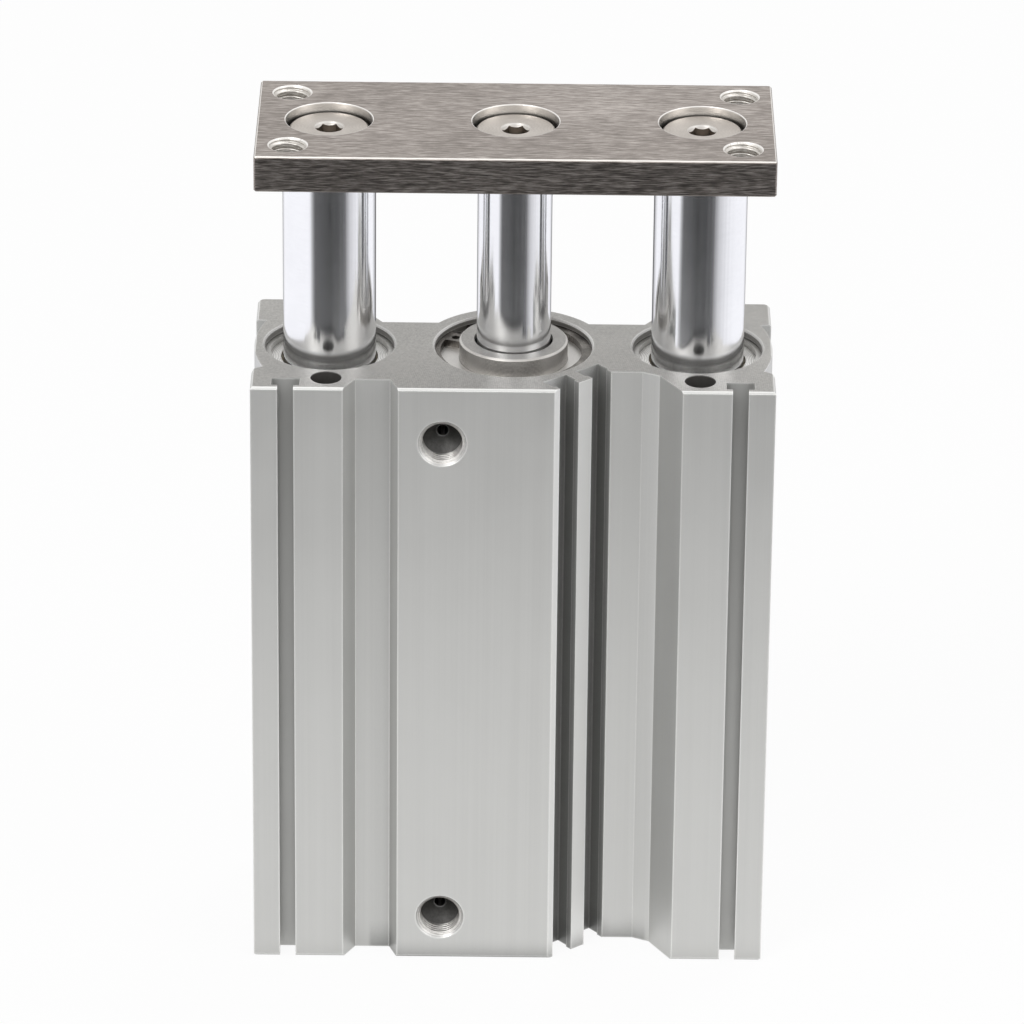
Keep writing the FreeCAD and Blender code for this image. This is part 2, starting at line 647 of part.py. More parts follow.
def head_cover():
    flange, snug = "opening / 2 - fit_gap", "bore / 2 - fit_gap"
    gasket_floor = "bore / 2 - gasket_deep"
    groove_low = "head_flange + head_land"
    boss = "bore / 2 - relief"
    return turned_piece("head_cover", [
        ("0", "0"), (flange, "0"), (flange, "head_flange"), (snug, "head_flange"),
        (snug, groove_low), (gasket_floor, groove_low), (gasket_floor, f"{groove_low} + groove_tall"),
        (snug, f"{groove_low} + groove_tall"), (snug, f"{groove_low} + groove_tall + head_land"),
        (boss, f"{groove_low} + groove_tall + head_land"), (boss, "head_top - ring_seat"),
        ("0", "head_top - ring_seat"),
    ], z="ring_seat")


def retaining_ring(name, edge, back, neck, lug, hole, hole_in, thick, turn, x="0", z="0"):
    # An internal ring that narrows from its back to its two lugs, each with a hole.
    # Its inner edge is an arc about a centre off the axis, through the back and both necks.
    turn_gap = "cos(ring_gap_half * 1 deg)", "sin(ring_gap_half * 1 deg)"
    lug_end = "(ring_gap_half + ring_lug)"
    turn_lug = f"cos({lug_end} * 1 deg)", f"sin({lug_end} * 1 deg)"
    lug_middle = "(ring_gap_half + ring_lug / 2)"
    low, beside, behind = f"({edge} - {lug})", f"({edge} - {neck})", f"({edge} - {back})"
    shift = f"(({beside} ^ 2 - {behind} ^ 2) / (2 * ({behind} + {beside} * {turn_lug[0]})))"
    body = add_body(name)
    sketch = add_sketch(body, "XY_Plane", name + "_outline", turn)
    outline(sketch, [
        (f"({edge}) * {turn_gap[0]}", f"({edge}) * {turn_gap[1]}", "0", "0", "left"),
        (f"({edge}) * {turn_gap[0]}", f"-({edge}) * {turn_gap[1]}"),
        (f"{low} * {turn_gap[0]}", f"-{low} * {turn_gap[1]}", "0", "0", "right"),
        (f"{low} * {turn_lug[0]}", f"-{low} * {turn_lug[1]}"),
        (f"{beside} * {turn_lug[0]}", f"-{beside} * {turn_lug[1]}", shift, "0", "right"),
        (f"{beside} * {turn_lug[0]}", f"{beside} * {turn_lug[1]}"),
        (f"{low} * {turn_lug[0]}", f"{low} * {turn_lug[1]}", "0", "0", "right"),
        (f"{low} * {turn_gap[0]}", f"{low} * {turn_gap[1]}"),
    ])
    for side in ("", "-"):
        circle(sketch, f"({edge} - {hole_in}) * cos({lug_middle} * 1 deg)",
               f"{side}({edge} - {hole_in}) * sin({lug_middle} * 1 deg)", hole)
    pad(body, sketch, thick)
    place(body, x, z)
    return body


def cover_ring(name, turn, level):
    return retaining_ring(name, "opening / 2 + ring_bite - fit_gap", "ring_back", "ring_neck",
                          "ring_lug_wide", "ring_hole", "ring_hole_in", "ring_thick", turn, z=level)


# What each guide bore holds. side is "-" on the left and "" on the right.

def guide_bushing(name, side, level):
    return turned_piece(name, ring_section(
        "guide_dia / 2 + run_gap", "guide_bore / 2 - fit_gap", "guide_bush_long"),
        x=f"{side}guide_x", z=level)


def guide_felt(name, side):
    return turned_piece(name, ring_section(
        "guide_dia / 2 + lip_gap", "guide_opening / 2 - 2 * fit_gap - holder_wall",
        "holder_tall - holder_lid"), x=f"{side}guide_x", z="felt_level")


def felt_holder(name, side):
    outer, inner = "guide_opening / 2 - fit_gap", "guide_dia / 2 + holder_gap"
    return turned_piece(name, [
        (f"{outer} - holder_wall", "0"), (outer, "0"), (outer, "holder_tall"), (inner, "holder_tall"),
        (inner, "holder_tall - holder_lid"), (f"{outer} - holder_wall", "holder_tall - holder_lid"),
    ], x=f"{side}guide_x", z="felt_level")


def guide_ring(name, side):
    return retaining_ring(name, "guide_opening / 2 + guide_ring_bite - fit_gap", "guide_ring_back",
                          "guide_ring_neck", "guide_ring_lug_wide", "guide_ring_hole",
                          "guide_ring_hole_in", "guide_ring_thick", "guide_ring_turn",
                          x=f"{side}guide_x", z="cover_level")


# The carriage: plate, rods, their screws and the piston.

def end_plate():
    body = add_body("end_plate")
    sketch = add_sketch(body, "XY_Plane", "plate_outline")
    wide, deep = "plate_width / 2", "plate_depth / 2"
    near_x, near_y = f"({wide} - plate_round)", f"({deep} - plate_round)"
    outline(sketch, [
        (f"-{near_x}", f"-{deep}"), (near_x, f"-{deep}", near_x, f"-{near_y}", "left"),
        (wide, f"-{near_y}"), (wide, near_y, near_x, near_y, "left"),
        (near_x, deep), (f"-{near_x}", deep, f"-{near_x}", near_y, "left"),
        (f"-{wide}", near_y), (f"-{wide}", f"-{near_y}", f"-{near_x}", f"-{near_y}", "left"),
    ])
    slab = pad(body, sketch, "plate_thick")
    bevel(body, slab, level_edges(slab), "plate_break")
    for spot in ("-guide_x", "0", "guide_x"):
        stepped = add_sketch(body, "XZ_Plane", "screw_pocket", x=spot)
        rim = "pocket_dia / 2 + pocket_break"
        shank = "screw_dia / 2 + thread_gap"
        outline(stepped, [
            ("0", "-over"), (shank, "-over"), (shank, "floor_thick"), ("pocket_dia / 2", "floor_thick"),
            ("pocket_dia / 2", "plate_thick - pocket_break"), (rim, "plate_thick"),
            (rim, "plate_thick + over"), ("0", "plate_thick + over"),
        ])
        spin(body, stepped, "Groove")
    for across in ("-", ""):
        for deep in ("-", ""):
            hole = add_sketch(body, "XZ_Plane", "plate_hole",
                              x=f"{across}(plate_width / 2 - plate_hole_edge)",
                              z=f"{deep}(plate_depth / 2 - plate_hole_edge)")
            outline(hole, tapped_through("tap_dia / 2", "plate_thick"))
            spin(body, hole, "Groove")
    place(body, z="plate_level")
    return body


def tapped_through(radius, thick):
    # Section of a tapped hole right through a plate, with a bevel at both ends.
    mouth = "tap_mouth / 2"
    return [
        ("0", "-over"), (mouth, "-over"), (mouth, "0"), (radius, f"{mouth} - {radius}"),
        (radius, f"{thick} - {mouth} + {radius}"), (mouth, thick), (mouth, f"{thick} + over"),
        ("0", f"{thick} + over"),
    ]


def socket_screw(name, head, tall, shank, reach, flats, socket_deep, x="0", z="0", turn=None):
    # Flat cylindrical head over z = 0, shank below it, hexagon socket in the head.
    body = add_body(name)
    section = add_sketch(body, "XZ_Plane", name + "_section")
    outline(section, [
        ("0", f"-{reach}"), (f"{shank} / 2 - screw_bevel", f"-{reach}"),
        (f"{shank} / 2", f"screw_bevel - {reach}"), (f"{shank} / 2", "0"), (f"{head} / 2", "0"),
        (f"{head} / 2", f"{tall} - screw_bevel"), (f"{head} / 2 - screw_bevel", tall), ("0", tall),
    ])
    spin(body, section, "Revolution")
    corner = f"{flats} / sqrt(3)"
    mouth = f"{corner} + hex_mouth"
    sink = add_sketch(body, "XZ_Plane", name + "_sink")
    outline(sink, [
        ("0", f"{tall} - hex_sink"), (f"{mouth} - hex_sink", f"{tall} - hex_sink"), (mouth, tall),
        (mouth, f"{tall} + over"), ("0", f"{tall} + over"),
    ])
    spin(body, sink, "Groove")
    socket = add_sketch(body, "XY_Plane", name + "_socket", z=tall)
    outline(socket, [
        (f"{corner} * {math.cos(math.radians(60 * step)):.6f}",
         f"{corner} * {math.sin(math.radians(60 * step)):.6f}") for step in range(6)])
    pocket(body, socket, socket_deep)
    if turn:
        body.Placement.Rotation = FreeCAD.Rotation(FreeCAD.Vector(1, 0, 0), turn)
    place(body, x, z)
    return body


def plate_screw(name, spot):
    return socket_screw(name, "screw_head", "head_tall", "screw_dia", "(floor_thick + screw_reach)",
                        "screw_hex", "hex_deep", x=spot, z="plate_level + floor_thick")


def piston_rod():
    tapped = "screw_dia / 2 + thread_gap"
    drilled = "piston_screw_dia / 2 + thread_gap"
    upper_floor = "rod_long - screw_reach - hole_spare"
    lower_floor = "piston_screw_reach + hole_spare - spigot_long"
    return turned_piece("piston_rod", [
        ("0", lower_floor), (drilled, lower_floor), (drilled, "-spigot_long"),
        ("spigot_dia / 2", "-spigot_long"), ("spigot_dia / 2", "0"), ("rod_dia / 2", "0"),
        ("rod_dia / 2", "rod_long - rod_bevel"), ("rod_dia / 2 - rod_bevel", "rod_long"),
        (tapped, "rod_long"), (tapped, upper_floor), ("0", upper_floor),
    ], z="piston_level + piston_long")


def guide_rod(name, side):
    tapped = "screw_dia / 2 + thread_gap"
    hole_floor = "guide_long - screw_reach - hole_spare"
    rod = "guide_dia / 2"
    return turned_piece(name, [
        ("0", "0"), (f"{rod} - rod_bevel", "0"), (rod, "rod_bevel"), (rod, "guide_long - rod_bevel"),
        (f"{rod} - rod_bevel", "guide_long"), (tapped, "guide_long"), (tapped, hole_floor),
        ("0", hole_floor),
    ], x=f"{side}guide_x")


# Heights on the piston, from its lower face.
seal_low = "piston_land"
seal_high = "(piston_land + lip_wide)"
magnet_low = "(piston_land + lip_wide + piston_rib)"
magnet_high = "(piston_land + lip_wide + piston_rib + magnet_wide)"
wear_low = "(piston_long - piston_land - wear_wide)"
wear_high = "(piston_long - piston_land)"


def piston():
    outer = "bore / 2 - piston_gap"
    inner_bump, outer_bump = "bumper_inner / 2", "bumper_outer / 2"
    recess = "piston_screw_head / 2 + thread_gap"
    spigot = "spigot_dia / 2 + thread_gap"
    upper = "piston_long - bumper_sunk"
    return turned_piece("piston", [
        (recess, "0"), (inner_bump, "0"), (inner_bump, "bumper_sunk"), (outer_bump, "bumper_sunk"),
        (outer_bump, "0"), (outer, "0"),
        (outer, seal_low), ("bore / 2 - lip_deep", seal_low), ("bore / 2 - lip_deep", seal_high),
        (outer, seal_high), (outer, magnet_low), ("bore / 2 - magnet_deep", magnet_low),
        ("bore / 2 - magnet_deep", magnet_high), (outer, magnet_high), (outer, wear_low),
        ("bore / 2 - wear_deep", wear_low), ("bore / 2 - wear_deep", wear_high), (outer, wear_high),
        (outer, "piston_long"), (outer_bump, "piston_long"), (outer_bump, upper), (inner_bump, upper),
        (inner_bump, "piston_long"), (spigot, "piston_long"), (spigot, "piston_recess"),
        (recess, "piston_recess"),
    ], z="piston_level")


def piston_seal():
    # A ring with a vee in its outer edge, which leaves two sealing lips.
    inner, outer = "bore / 2 - lip_deep + fit_gap", "bore / 2 - lip_gap"
    return turned_piece("piston_seal", [
        (inner, "groove_play / 2"), (outer, "groove_play / 2"), (outer, "lip_wide * 0.25"),
        (f"{outer} - seal_lip", "lip_wide * 0.5"), (outer, "lip_wide * 0.75"),
        (outer, "lip_wide - groove_play / 2"), (inner, "lip_wide - groove_play / 2"),
    ], z=f"piston_level + {seal_low}")


def magnet_ring():
    return turned_piece("magnet_ring", ring_section(
        "bore / 2 - magnet_deep + fit_gap", "bore / 2 - piston_gap - magnet_sunk",
        "magnet_wide"), z=f"piston_level + {magnet_low}")


def wear_ring():
    return turned_piece("wear_ring", ring_section(
        "bore / 2 - wear_deep + fit_gap", "bore / 2 - lip_gap", "wear_wide"),
        z=f"piston_level + {wear_low}")


def bumper(name, level):
    return turned_piece(name, ring_section(
        "bumper_inner / 2 + fit_gap", "bumper_outer / 2 - fit_gap", "bumper_sunk + bumper_proud"),
        z=level)


def piston_screw():
    # Upside down: its head sits in the recess of the piston's lower face.
    return socket_screw("piston_screw", "piston_screw_head", "piston_head_tall", "piston_screw_dia",
                        "piston_screw_reach", "piston_hex", "piston_hex_deep",
                        z="piston_level + piston_recess", turn=180)


def build_all():
    pieces = [
        cylinder_body(), rod_cover(), rod_bushing(), rod_seal(), head_cover(),
        gasket("rod_cover_gasket",
               "cover_level - cover_flange - cover_land - groove_tall + groove_play / 2"),
        gasket("head_cover_gasket", "head_shoulder + head_land + groove_play / 2"),
        cover_ring("rod_retaining_ring", "rod_ring_turn", "cover_level"),
        cover_ring("head_retaining_ring", "head_ring_turn", "ring_seat - ring_thick"),
        end_plate(), piston_rod(), plate_screw("piston_rod_screw", "0"),
        piston(), piston_seal(), magnet_ring(), wear_ring(), piston_screw(),
        bumper("bumper_upper", "piston_level + piston_long - bumper_sunk"),
        bumper("bumper_lower", "piston_level - bumper_proud"),
    ]
    for word, side in (("left", "-"), ("right", "")):
        pieces += [
            guide_bushing(f"guide_bushing_{word}_upper", side, "felt_level - guide_bush_long"),
            guide_bushing(f"guide_bushing_{word}_lower", side, "guide_bush_inset"),
            guide_felt(f"guide_felt_{word}", side),
            felt_holder(f"felt_holder_{word}", side),
            guide_ring(f"guide_retaining_ring_{word}", side),
            guide_rod(f"guide_rod_{word}", side),
            plate_screw(f"guide_rod_screw_{word}", f"{side}guide_x"),
        ]
    return pieces


def check_and_write(pieces):
    doc.recompute()
    faults = [f"{item.Name} {item.State}" for item in doc.Objects
              if "Invalid" in item.State or "Error" in item.State]
    faults += [piece.Label for piece in pieces
               if piece.Shape.isNull() or not piece.Shape.isValid() or len(piece.Shape.Solids) != 1]
    if faults:
        raise RuntimeError("not built: " + ", ".join(faults))
    os.makedirs("parts", exist_ok=True)
    for piece in pieces:
        piece.Shape.exportStep(f"parts/{piece.Label}.step")
        print(f"{piece.Label}: {piece.Shape.Volume / 1000:.3f} cm3")


check_and_write(build_all())
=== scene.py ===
import bpy
import json
import math
import numpy as np
from mathutils import Matrix, Vector


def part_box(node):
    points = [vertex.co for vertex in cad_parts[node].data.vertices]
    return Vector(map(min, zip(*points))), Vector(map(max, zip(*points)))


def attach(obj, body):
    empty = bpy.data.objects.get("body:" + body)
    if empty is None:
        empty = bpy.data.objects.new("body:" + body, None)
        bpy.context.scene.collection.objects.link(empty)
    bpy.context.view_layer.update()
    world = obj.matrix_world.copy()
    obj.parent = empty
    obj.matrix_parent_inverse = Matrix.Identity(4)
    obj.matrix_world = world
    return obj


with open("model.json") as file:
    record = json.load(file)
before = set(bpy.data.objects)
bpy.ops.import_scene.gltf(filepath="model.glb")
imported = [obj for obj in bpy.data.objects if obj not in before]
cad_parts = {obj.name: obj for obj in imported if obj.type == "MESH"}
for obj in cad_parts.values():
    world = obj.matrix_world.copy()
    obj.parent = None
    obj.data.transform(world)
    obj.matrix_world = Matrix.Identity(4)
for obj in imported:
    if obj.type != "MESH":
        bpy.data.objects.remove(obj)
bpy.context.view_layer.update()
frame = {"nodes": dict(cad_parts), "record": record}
print("frame loaded:", len(frame["nodes"]), "nodes")

mm = 0.001
scene = bpy.context.scene


# Places read from the frame, in metres.

plateLow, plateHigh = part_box("end_plate")
bodyLow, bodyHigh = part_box("cylinder_body")
guideLow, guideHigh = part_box("guide_rod_right")
guideX = (guideLow.x + guideHigh.x) / 2
plateTop, plateUnder = plateHigh.z, plateLow.z
bodyTop, bodyFront, bodyBack = bodyHigh.z, bodyLow.y, bodyHigh.y

# Centres of the tapped holes, measured from the outer faces.
plateHoles = {"x": plateHigh.x - 7 * mm, "y": plateHigh.y - 7 * mm}
ports = {"x": -15 * mm, "levels": (bodyTop - 12.8 * mm, 10.2 * mm)}
backHoles = {"x": bodyHigh.x - 8 * mm, "levels": (bodyTop - 21 * mm, bodyTop - 69 * mm)}
baseHoles = {"x": bodyHigh.x - 16.05 * mm, "y": bodyHigh.y - 5.5 * mm}


# Camera, set to the photograph's viewing angle.

camera = {
    "lens": 240.87,            # mm
    "film": 36,                # mm, width
    "elevation": 25.034,       # degrees above the horizon, straight from the front
    "roll": 0.6,               # degrees
    "target": (0.045, 0.0, 97.67),      # mm
    "distance": 1495.464,      # mm
    "clip": (0.01, 100),       # metres
}


def makeCamera(spec):
    elevation, roll = math.radians(spec["elevation"]), math.radians(spec["roll"])
    back = Vector((0, -math.cos(elevation), math.sin(elevation)))
    up = Vector((0, math.sin(elevation), math.cos(elevation)))
    right = Vector((1, 0, 0))
    rolledRight = right * math.cos(roll) + up * math.sin(roll)
    rolledUp = up * math.cos(roll) - right * math.sin(roll)
    data = bpy.data.cameras.new("studio_camera")
    data.lens = spec["lens"]
    data.sensor_width = spec["film"]
    data.clip_start, data.clip_end = spec["clip"]
    lookout = bpy.data.objects.new("studio_camera", data)
    scene.collection.objects.link(lookout)
    turned = Matrix((rolledRight, rolledUp, back)).transposed().to_4x4()
    place = (Vector(spec["target"]) + back * spec["distance"]) * mm
    lookout.matrix_world = Matrix.Translation(place) @ turned
    scene.camera = lookout


makeCamera(camera)
scene.view_settings.view_transform = "Standard"
print("camera placed")


# Node graphs.

def toned(colour, gain, most=1.0):
    # A darker or lighter colour, no part of it above most.
    return tuple(min(most, gain * part) for part in colour)


class Finish:
    # A material under construction. Each call adds nodes and gives back their output.
    # A value may be a number, a colour or the output of another node.

    def __init__(self, name):
        self.material = bpy.data.materials.new(name)
        self.material.use_nodes = True
        self.tree = self.material.node_tree
        self.tree.nodes.clear()
        self.shader = self.tree.nodes.new("ShaderNodeBsdfPrincipled")
        output = self.tree.nodes.new("ShaderNodeOutputMaterial")
        self.tree.links.new(self.shader.outputs[0], output.inputs["Surface"])
        coords = self.tree.nodes.new("ShaderNodeTexCoord")
        self.point = coords.outputs["Object"]
        self.x, self.y, self.z = self.split(self.point)
        self.nx, self.ny, self.nz = self.split(coords.outputs["Normal"])

    def feed(self, socket, value):
        if isinstance(value, bpy.types.NodeSocket):
            self.tree.links.new(value, socket)
        elif isinstance(value, tuple) and len(value) == 3 and len(socket.default_value) == 4:
            socket.default_value = (*value, 1)
        else:
            socket.default_value = value

    def split(self, vector):
        made = self.tree.nodes.new("ShaderNodeSeparateXYZ")
        self.feed(made.inputs[0], vector)
        return made.outputs

    def math(self, operation, *values):
        made = self.tree.nodes.new("ShaderNodeMath")
        made.operation = operation
        for socket, value in zip(made.inputs, values):
            self.feed(socket, value)
        return made.outputs[0]

    def add(self, *values):
        total = values[0]
        for value in values[1:]:
            total = self.math("ADD", total, value)
        return total

    def times(self, *values):
        product = values[0]
        for value in values[1:]:
            product = self.math("MULTIPLY", product, value)
        return product

    def weighed(self, *parts):
        # The sum of pairs of a value and its share.
        return self.add(*(self.times(value, share) for value, share in parts))

    def less(self, a, b):
        return self.math("SUBTRACT", a, b)

    def most(self, a, b):
        return self.math("MAXIMUM", a, b)

    def size(self, value):
        return self.math("ABSOLUTE", value)

    def reach(self, a, b):
        # Distance from an axis, of two offsets across it.
        return self.math("SQRT", self.add(self.times(a, a), self.times(b, b)))

    def fade(self, value, start, end, low=0.0, high=1.0):
        # Smooth change from low to high while the value goes from start to end.
        made = self.tree.nodes.new("ShaderNodeMapRange")
        made.interpolation_type = "SMOOTHSTEP"
        for name, number in zip(("Value", "From Min", "From Max", "To Min", "To Max"),
                                (value, start, end, low, high)):
            self.feed(made.inputs[name], number)
        return made.outputs[0]

    def beyond(self, value, limit, soft):
        # 1 above the limit and 0 below it, with a soft step.
        return self.fade(value, limit - soft, limit + soft)

    def within(self, value, limit, soft):
        return self.fade(value, limit + soft, limit - soft)

    def spread(self, value, low, high):
        # A 0 to 1 value laid over low to high.
        return self.fade(value, 0.0, 1.0, low, high)

    def stretch(self, sizes, shift=(0, 0, 0)):
        made = self.tree.nodes.new("ShaderNodeMapping")
        self.feed(made.inputs["Vector"], self.point)
        made.inputs["Location"].default_value = shift
        made.inputs["Scale"].default_value = sizes
        return made.outputs[0]

    def noise(self, vector, scale=1.0, detail=3.0, rough=0.55):
        made = self.tree.nodes.new("ShaderNodeTexNoise")
        self.feed(made.inputs["Vector"], vector)
        for name, value in (("Scale", scale), ("Detail", detail), ("Roughness", rough)):
            made.inputs[name].default_value = value
        return made.outputs[0]

    def rings(self, distance, pitch, wobble):
        # Turning marks: a wave over a distance, one crest each pitch.
        phase = self.add(self.times(distance, 2 * math.pi / pitch), wobble)
        return self.spread(self.add(self.times(self.math("SINE", phase), 0.5), 0.5), 0.0, 1.0)

    def mix(self, share, a, b):
        made = self.tree.nodes.new("ShaderNodeMix")
        made.data_type = "RGBA"
        self.feed(made.inputs["Factor"], share)
        self.feed(made.inputs[6], a)
        self.feed(made.inputs[7], b)
        return made.outputs[2]

    def blend(self, share, a, b):
        # The same for numbers.
        made = self.tree.nodes.new("ShaderNodeMix")
        self.feed(made.inputs["Factor"], share)
        self.feed(made.inputs[2], a)
        self.feed(made.inputs[3], b)
        return made.outputs[0]

    def ramp(self, value, *stops):
        made = self.tree.nodes.new("ShaderNodeValToRGB")
        self.feed(made.inputs[0], value)
        band = made.color_ramp
        for index, (place, colour) in enumerate(stops):
            stop = band.elements[index] if index < 2 else band.elements.new(place)
            stop.position = place
            stop.color = (*colour, 1)
        return made.outputs[0]

    def bump(self, height, depth):
        # depth is how far, in metres, a height of 1 stands above a height of 0.
        made = self.tree.nodes.new("ShaderNodeBump")
        made.inputs["Strength"].default_value = 1.0
        made.inputs["Distance"].default_value = depth
        self.feed(made.inputs["Height"], height)
        return made.outputs[0]

    def nearEdge(self, radius):
        # 0 on flat places and 1 at an edge: how far a normal rounded over radius leans from the face's own.
        rounded = self.tree.nodes.new("ShaderNodeBevel")
        rounded.samples = 6
        rounded.inputs["Radius"].default_value = radius
        own = self.tree.nodes.new("ShaderNodeNewGeometry")
        lean = self.tree.nodes.new("ShaderNodeVectorMath")
        lean.operation = "DOT_PRODUCT"
        self.tree.links.new(rounded.outputs[0], lean.inputs[0])
        self.tree.links.new(own.outputs["Normal"], lean.inputs[1])
        alike, apart = 0.998, 0.95       # cosines of the angle between the two
        return self.fade(lean.outputs["Value"], alike, apart)

    def sheltered(self, distance, deepest):
        # 0 in the open, up to deepest in slots and corners that other walls shelter within distance.
        made = self.tree.nodes.new("ShaderNodeAmbientOcclusion")
        made.samples = 8
        made.inputs["Distance"].default_value = distance
        openSky, closedIn = 0.92, 0.25
        return self.fade(made.outputs["AO"], openSky, closedIn, 0.0, deepest)

    def bevelled(self):
        # 1 on the small bevels between two faces that lie square to the axes.
        straightest = self.most(self.most(self.size(self.nx), self.size(self.ny)), self.size(self.nz))
        return self.fade(straightest, 0.90, 0.80)

    def done(self, **values):
        for name, value in values.items():
            self.feed(self.shader.inputs[name.replace("_", " ")], value)
        return self.material


# Anodised extrusion.

bodyLook = {
    "skin": (0.61, 0.61, 0.595),          # drawn, anodised faces
    "flat": (0.77, 0.77, 0.755),          # painted light: a lighter copy of the skin on the slanted face that carries the sensor slots
    "sawn": (0.392, 0.383, 0.366),        # milled ends
    "bored": (0.54, 0.53, 0.515),         # walls of the bores and ports
    "deep": (0.18, 0.173, 0.163),         # painted shade on the walls of the long holes
    "boreShade": (0.25, 0.243, 0.232),    # low in the bores
    "portFloorShade": (0.030, 0.029, 0.027),  # painted shade on the floor of a port
    # painted highlight, mixed in near the edges
    "edge": (0.98, 0.98, 0.96),
    "shade": (0.48, 0.48, 0.465),         # deep inside the T-slots
    "sensorShade": (0.17, 0.17, 0.165),   # and inside the sensor slots
    "slantedFlat": (0.643, -0.766),       # X and Y of the direction that it faces
    "sensorZone": 30.5 * mm,              # slots nearer the middle than this are the sensor slots
    "middleBore": 18.10 * mm,             # radii
    "guideBore": 14.90 * mm,
    "longHole": 4.425 * mm,
    "portMouth": 5.335 * mm,
    "portPoint": 4.65 * mm,
    "portDepth": 4.75 * mm,
    "portsAhead": -10.5 * mm,             # Y, in front of which the ports lie
    "breakTall": 0.22 * mm,               # broken edges round the rod end, which take a share of the painted edge highlight
    "breakShare": 0.4,
    "lineWidth": 0.35 * mm,
    "broadLine": 4 * mm,
    "grain": 0.10 * mm,
    "sand": 0.42 * mm,
    "cutterRadius": 62 * mm,              # arcs that the face mill leaves on the ends
    "cutterPitch": 0.45 * mm,
    "boreMarks": 0.16 * mm,
    "edgeRadius": 0.55 * mm,
    "shelter": 7 * mm,
    "lineDepth": 0.004 * mm,
    "metal": 0.72,
}


